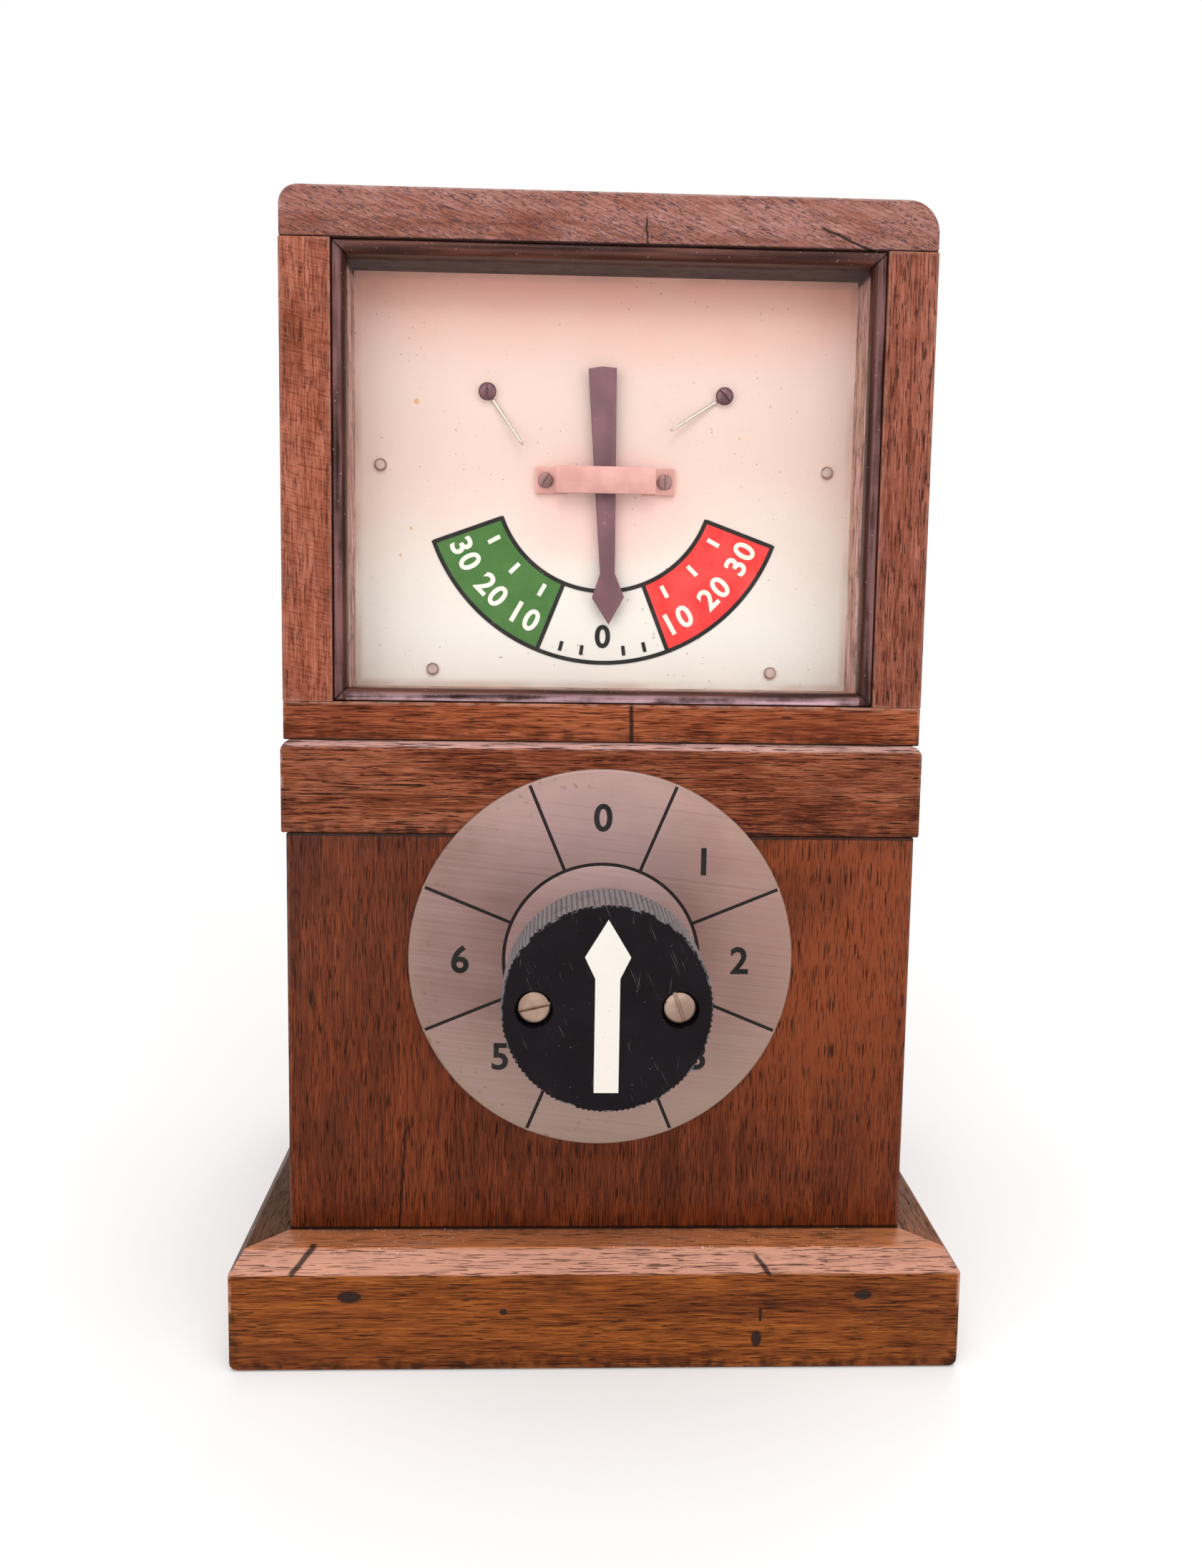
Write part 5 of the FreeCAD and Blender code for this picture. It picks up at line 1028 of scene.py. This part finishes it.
for name, start, end, material in (
        ("green_sector", -SECTOR_END, -WHITE_SPREAD, GREEN_PAINT),
        ("red_sector", WHITE_SPREAD, SECTOR_END, RED_PAINT)):
    on_dial(ring_sector(INNER_ARC, OUTER_ARC, start, end, DIAL_FACE - 0.10, 0.16), name, material)
LINE = 0.62
outline = [ring_sector(arc - LINE, arc + LINE, -SECTOR_END - past, SECTOR_END + past,
                       DIAL_FACE - 0.24, 0.30, bevel=0.08)
           for arc, past in ((INNER_ARC, 0.8), (OUTER_ARC, 0.5))]
for angle in (-SECTOR_END, -WHITE_SPREAD, WHITE_SPREAD, SECTOR_END):
    spoke = plaque(oblong(LINE, -OUTER_ARC, -INNER_ARC), DIAL_FACE - 0.23, 0.29)
    applied(spoke, "BEVEL", width=0.08 * MM, segments=2)
    outline.append(moved(spoke, -angle, (0, 0, PIVOT)))
on_dial(done(joined(outline), 40), "sector_outlines", BLACK_PAINT)


def numeral(text, height, thick, stroke, bevel=0.05):
    """A generic number standing in the XZ plane, centred on the origin."""
    bpy.ops.object.text_add(rotation=(math.radians(90), 0, 0))
    piece = bpy.context.object
    piece.data.body = text
    piece.data.align_x = "CENTER"
    piece.data.align_y = "CENTER"
    piece.data.size = height * MM / 0.72
    piece.data.extrude = thick * MM / 2
    piece.data.bevel_depth = bevel * MM
    piece.data.offset = stroke * MM
    piece.data.space_character = 1.12
    piece.data.resolution_u = 4
    bpy.ops.object.convert(target="MESH")
    piece = done(bpy.context.object)
    low = Vector([min(v.co[i] for v in piece.data.vertices) for i in range(3)])
    high = Vector([max(v.co[i] for v in piece.data.vertices) for i in range(3)])
    piece.data.transform(Matrix.Translation(-(low + high) / 2))
    return piece


def set_down(piece, radius, angle, front, hub, turn=None):
    """Put a numeral at a radius and an angle from straight down about a hub."""
    around = math.radians(angle)
    spot = (radius * math.sin(around), front, hub - radius * math.cos(around))
    return moved(piece, -(angle if turn is None else turn), spot)


def tick(half, reach):
    """A small upright bar with softened edges, centred on the origin."""
    return softened(plaque(oblong(half, -reach, reach), -0.08, 0.16), 0.3)


NUMERAL_ROW = 46.6
TICK_ROW = 37.2
OUTER_TICK_ROW = 50.6
MARK_FRONT = DIAL_FACE - 0.10
white_marks = []
for side in (-1, 1):
    for step, text in enumerate(("10", "20", "30")):
        angle = side * (WHITE_SPREAD + 8.2 + step * 16.1)
        white_marks.append(set_down(numeral(text, 6.6, 0.16, 0.20), NUMERAL_ROW, angle,
                                    DIAL_FACE - 0.17, PIVOT))
        white_marks.append(set_down(tick(0.65, 2.0), TICK_ROW, angle, DIAL_FACE - 0.15, PIVOT))
on_dial(done(joined(white_marks), 40), "white_numerals", WHITE_PAINT)

black_marks = [set_down(numeral("0", 6.8, 0.16, 0.20), NUMERAL_ROW - 0.6, 0, MARK_FRONT, PIVOT)]
for angle in (-14.4, -7.2, 7.2, 14.4):
    black_marks.append(set_down(tick(0.55, 1.5), OUTER_TICK_ROW, angle, MARK_FRONT, PIVOT))
on_dial(done(joined(black_marks), 40), "black_numerals", BLACK_PAINT)

plate_marks = []
for text, angle, radius in (("0", 180, 41.5), ("1", 135, 41.0), ("2", 90, 40.0),
                            ("3", 45, 40.5), ("4", 0, 41.0), ("5", -45, 40.8), ("6", -90, 40.5)):
    plate_marks.append(set_down(numeral(text, 7.9, 0.10, 0.22, 0.02), radius, angle,
                                PLATE_FRONT + 0.01, SPINDLE, turn=0))
kept(done(joined(plate_marks), 40), "plate_numerals", "commutator_plate", BLACK_PAINT,
     replaces=False)


# -------- view and light


def seen_rays(tree):
    """1 for rays that show the backdrop: straight from the camera, mirrored or through glass."""
    path = tree.nodes.new("ShaderNodeLightPath")
    total = path.outputs["Is Camera Ray"]
    for kind in ("Is Glossy Ray", "Is Transmission Ray"):
        either = tree.nodes.new("ShaderNodeMath")
        either.operation = "MAXIMUM"
        tree.links.new(total, either.inputs[0])
        tree.links.new(path.outputs[kind], either.inputs[1])
        total = either.outputs[0]
    return total


FLOOR_GLOW = 0.12
FLOOR_SIZE = 6.0
SENSOR = 36.0
# Each lamp: place, height that it is aimed at, width and power
LAMPS = {
    "window_left": ((-0.98, -1.30, 0.55), 0.20, 1.15, 8.8),
    "window_right": ((1.08, -1.25, 0.50), 0.20, 1.15, 7.0),
    "window_high": ((0.0, -1.25, 1.25), 0.22, 1.0, 9.0),
    "sky_top": ((0.0, -0.1, 1.7), 0.20, 1.4, 10.0),
    "fill_back": ((0.4, 1.5, 0.9), 0.17, 1.4, 9.0),
}


def floor_white():
    """Matt white that holds the shadow near the object and turns plain white far from it."""
    f = Finish("floor_white")
    seen = Field(f, seen_rays(f.tree))
    far = (f.x * f.x + f.y * f.y).root().rise(450, 1500)
    matt = f.node("ShaderNodeBsdfDiffuse", None,
                  {0: f.mix((0.93, 0.93, 0.93), (0, 0, 0), far * far * seen)})
    glow = f.node("ShaderNodeEmission", None,
                  {"Strength": seen * (far * (1 - FLOOR_GLOW) + FLOOR_GLOW)})
    both = f.node("ShaderNodeAddShader", None, {0: matt, 1: glow})
    f.tree.nodes.remove(f.shader)
    f.tree.links.new(both.socket, f.tree.nodes["Material Output"].inputs["Surface"])
    return f.material


def photo_camera():
    """Camera placed and aimed as the one that took the photograph."""
    yaw, pitch, roll = 0.0357, 0.1018, -0.0153
    place = Vector((-14.5536, -427.666, 221.0376)) * MM
    width, height = 1680.0, 2192.0
    focal, axis_x, axis_y = 1722.9925, 834.44, 1007.80
    ahead = Vector((math.sin(yaw) * math.cos(pitch), math.cos(yaw) * math.cos(pitch),
                    -math.sin(pitch)))
    right = Vector((math.cos(yaw), -math.sin(yaw), 0))
    down = ahead.cross(right)
    across = right * math.cos(roll) + down * math.sin(roll)
    below = down * math.cos(roll) - right * math.sin(roll)
    lens = bpy.data.cameras.new("photo_camera")
    lens.sensor_width = SENSOR
    lens.lens = focal * SENSOR / height
    lens.shift_x = (width / 2 - axis_x) / height
    lens.shift_y = (axis_y - height / 2) / height
    lens.clip_start = 0.01
    camera = in_scene("photo_camera", lens)
    turn = Matrix((across, -below, -ahead)).transposed().to_4x4()
    camera.matrix_world = Matrix.Translation(place) @ turn
    bpy.context.scene.camera = camera


def lamps():
    for name, (place, aim, size, power) in LAMPS.items():
        data = bpy.data.lights.new(name, "AREA")
        data.shape = "SQUARE"
        data.size = size
        data.energy = power
        lamp = in_scene(name, data)
        lamp.location = place
        gaze = Vector((0, 0, aim)) - Vector(place)
        lamp.rotation_euler = gaze.to_track_quat("-Z", "Y").to_euler()


def backdrop():
    """A pale floor that keeps the shadow, and a soft sky that is seen as plain white."""
    bpy.ops.mesh.primitive_plane_add(size=FLOOR_SIZE, location=(0, 0, -0.5 * MM))
    floor = bpy.context.object
    floor.name = "floor"
    floor.data.materials.append(floor_white())

    world = bpy.data.worlds.new("studio_world")
    bpy.context.scene.world = world
    world.use_nodes = True
    tree = world.node_tree
    soft = tree.nodes["Background"]
    soft.inputs[0].default_value = (1.0, 0.985, 0.97, 1)
    soft.inputs[1].default_value = 0.38
    white = tree.nodes.new("ShaderNodeBackground")
    white.inputs[0].default_value = (1, 1, 1, 1)
    level = tree.nodes.new("ShaderNodeMixShader")
    tree.links.new(seen_rays(tree), level.inputs[0])
    tree.links.new(soft.outputs[0], level.inputs[1])
    tree.links.new(white.outputs[0], level.inputs[2])
    tree.links.new(level.outputs[0], tree.nodes["World Output"].inputs["Surface"])
    bpy.context.scene.view_settings.view_transform = "Standard"


photo_camera()
lamps()
backdrop()
bpy.ops.object.select_all(action="DESELECT")
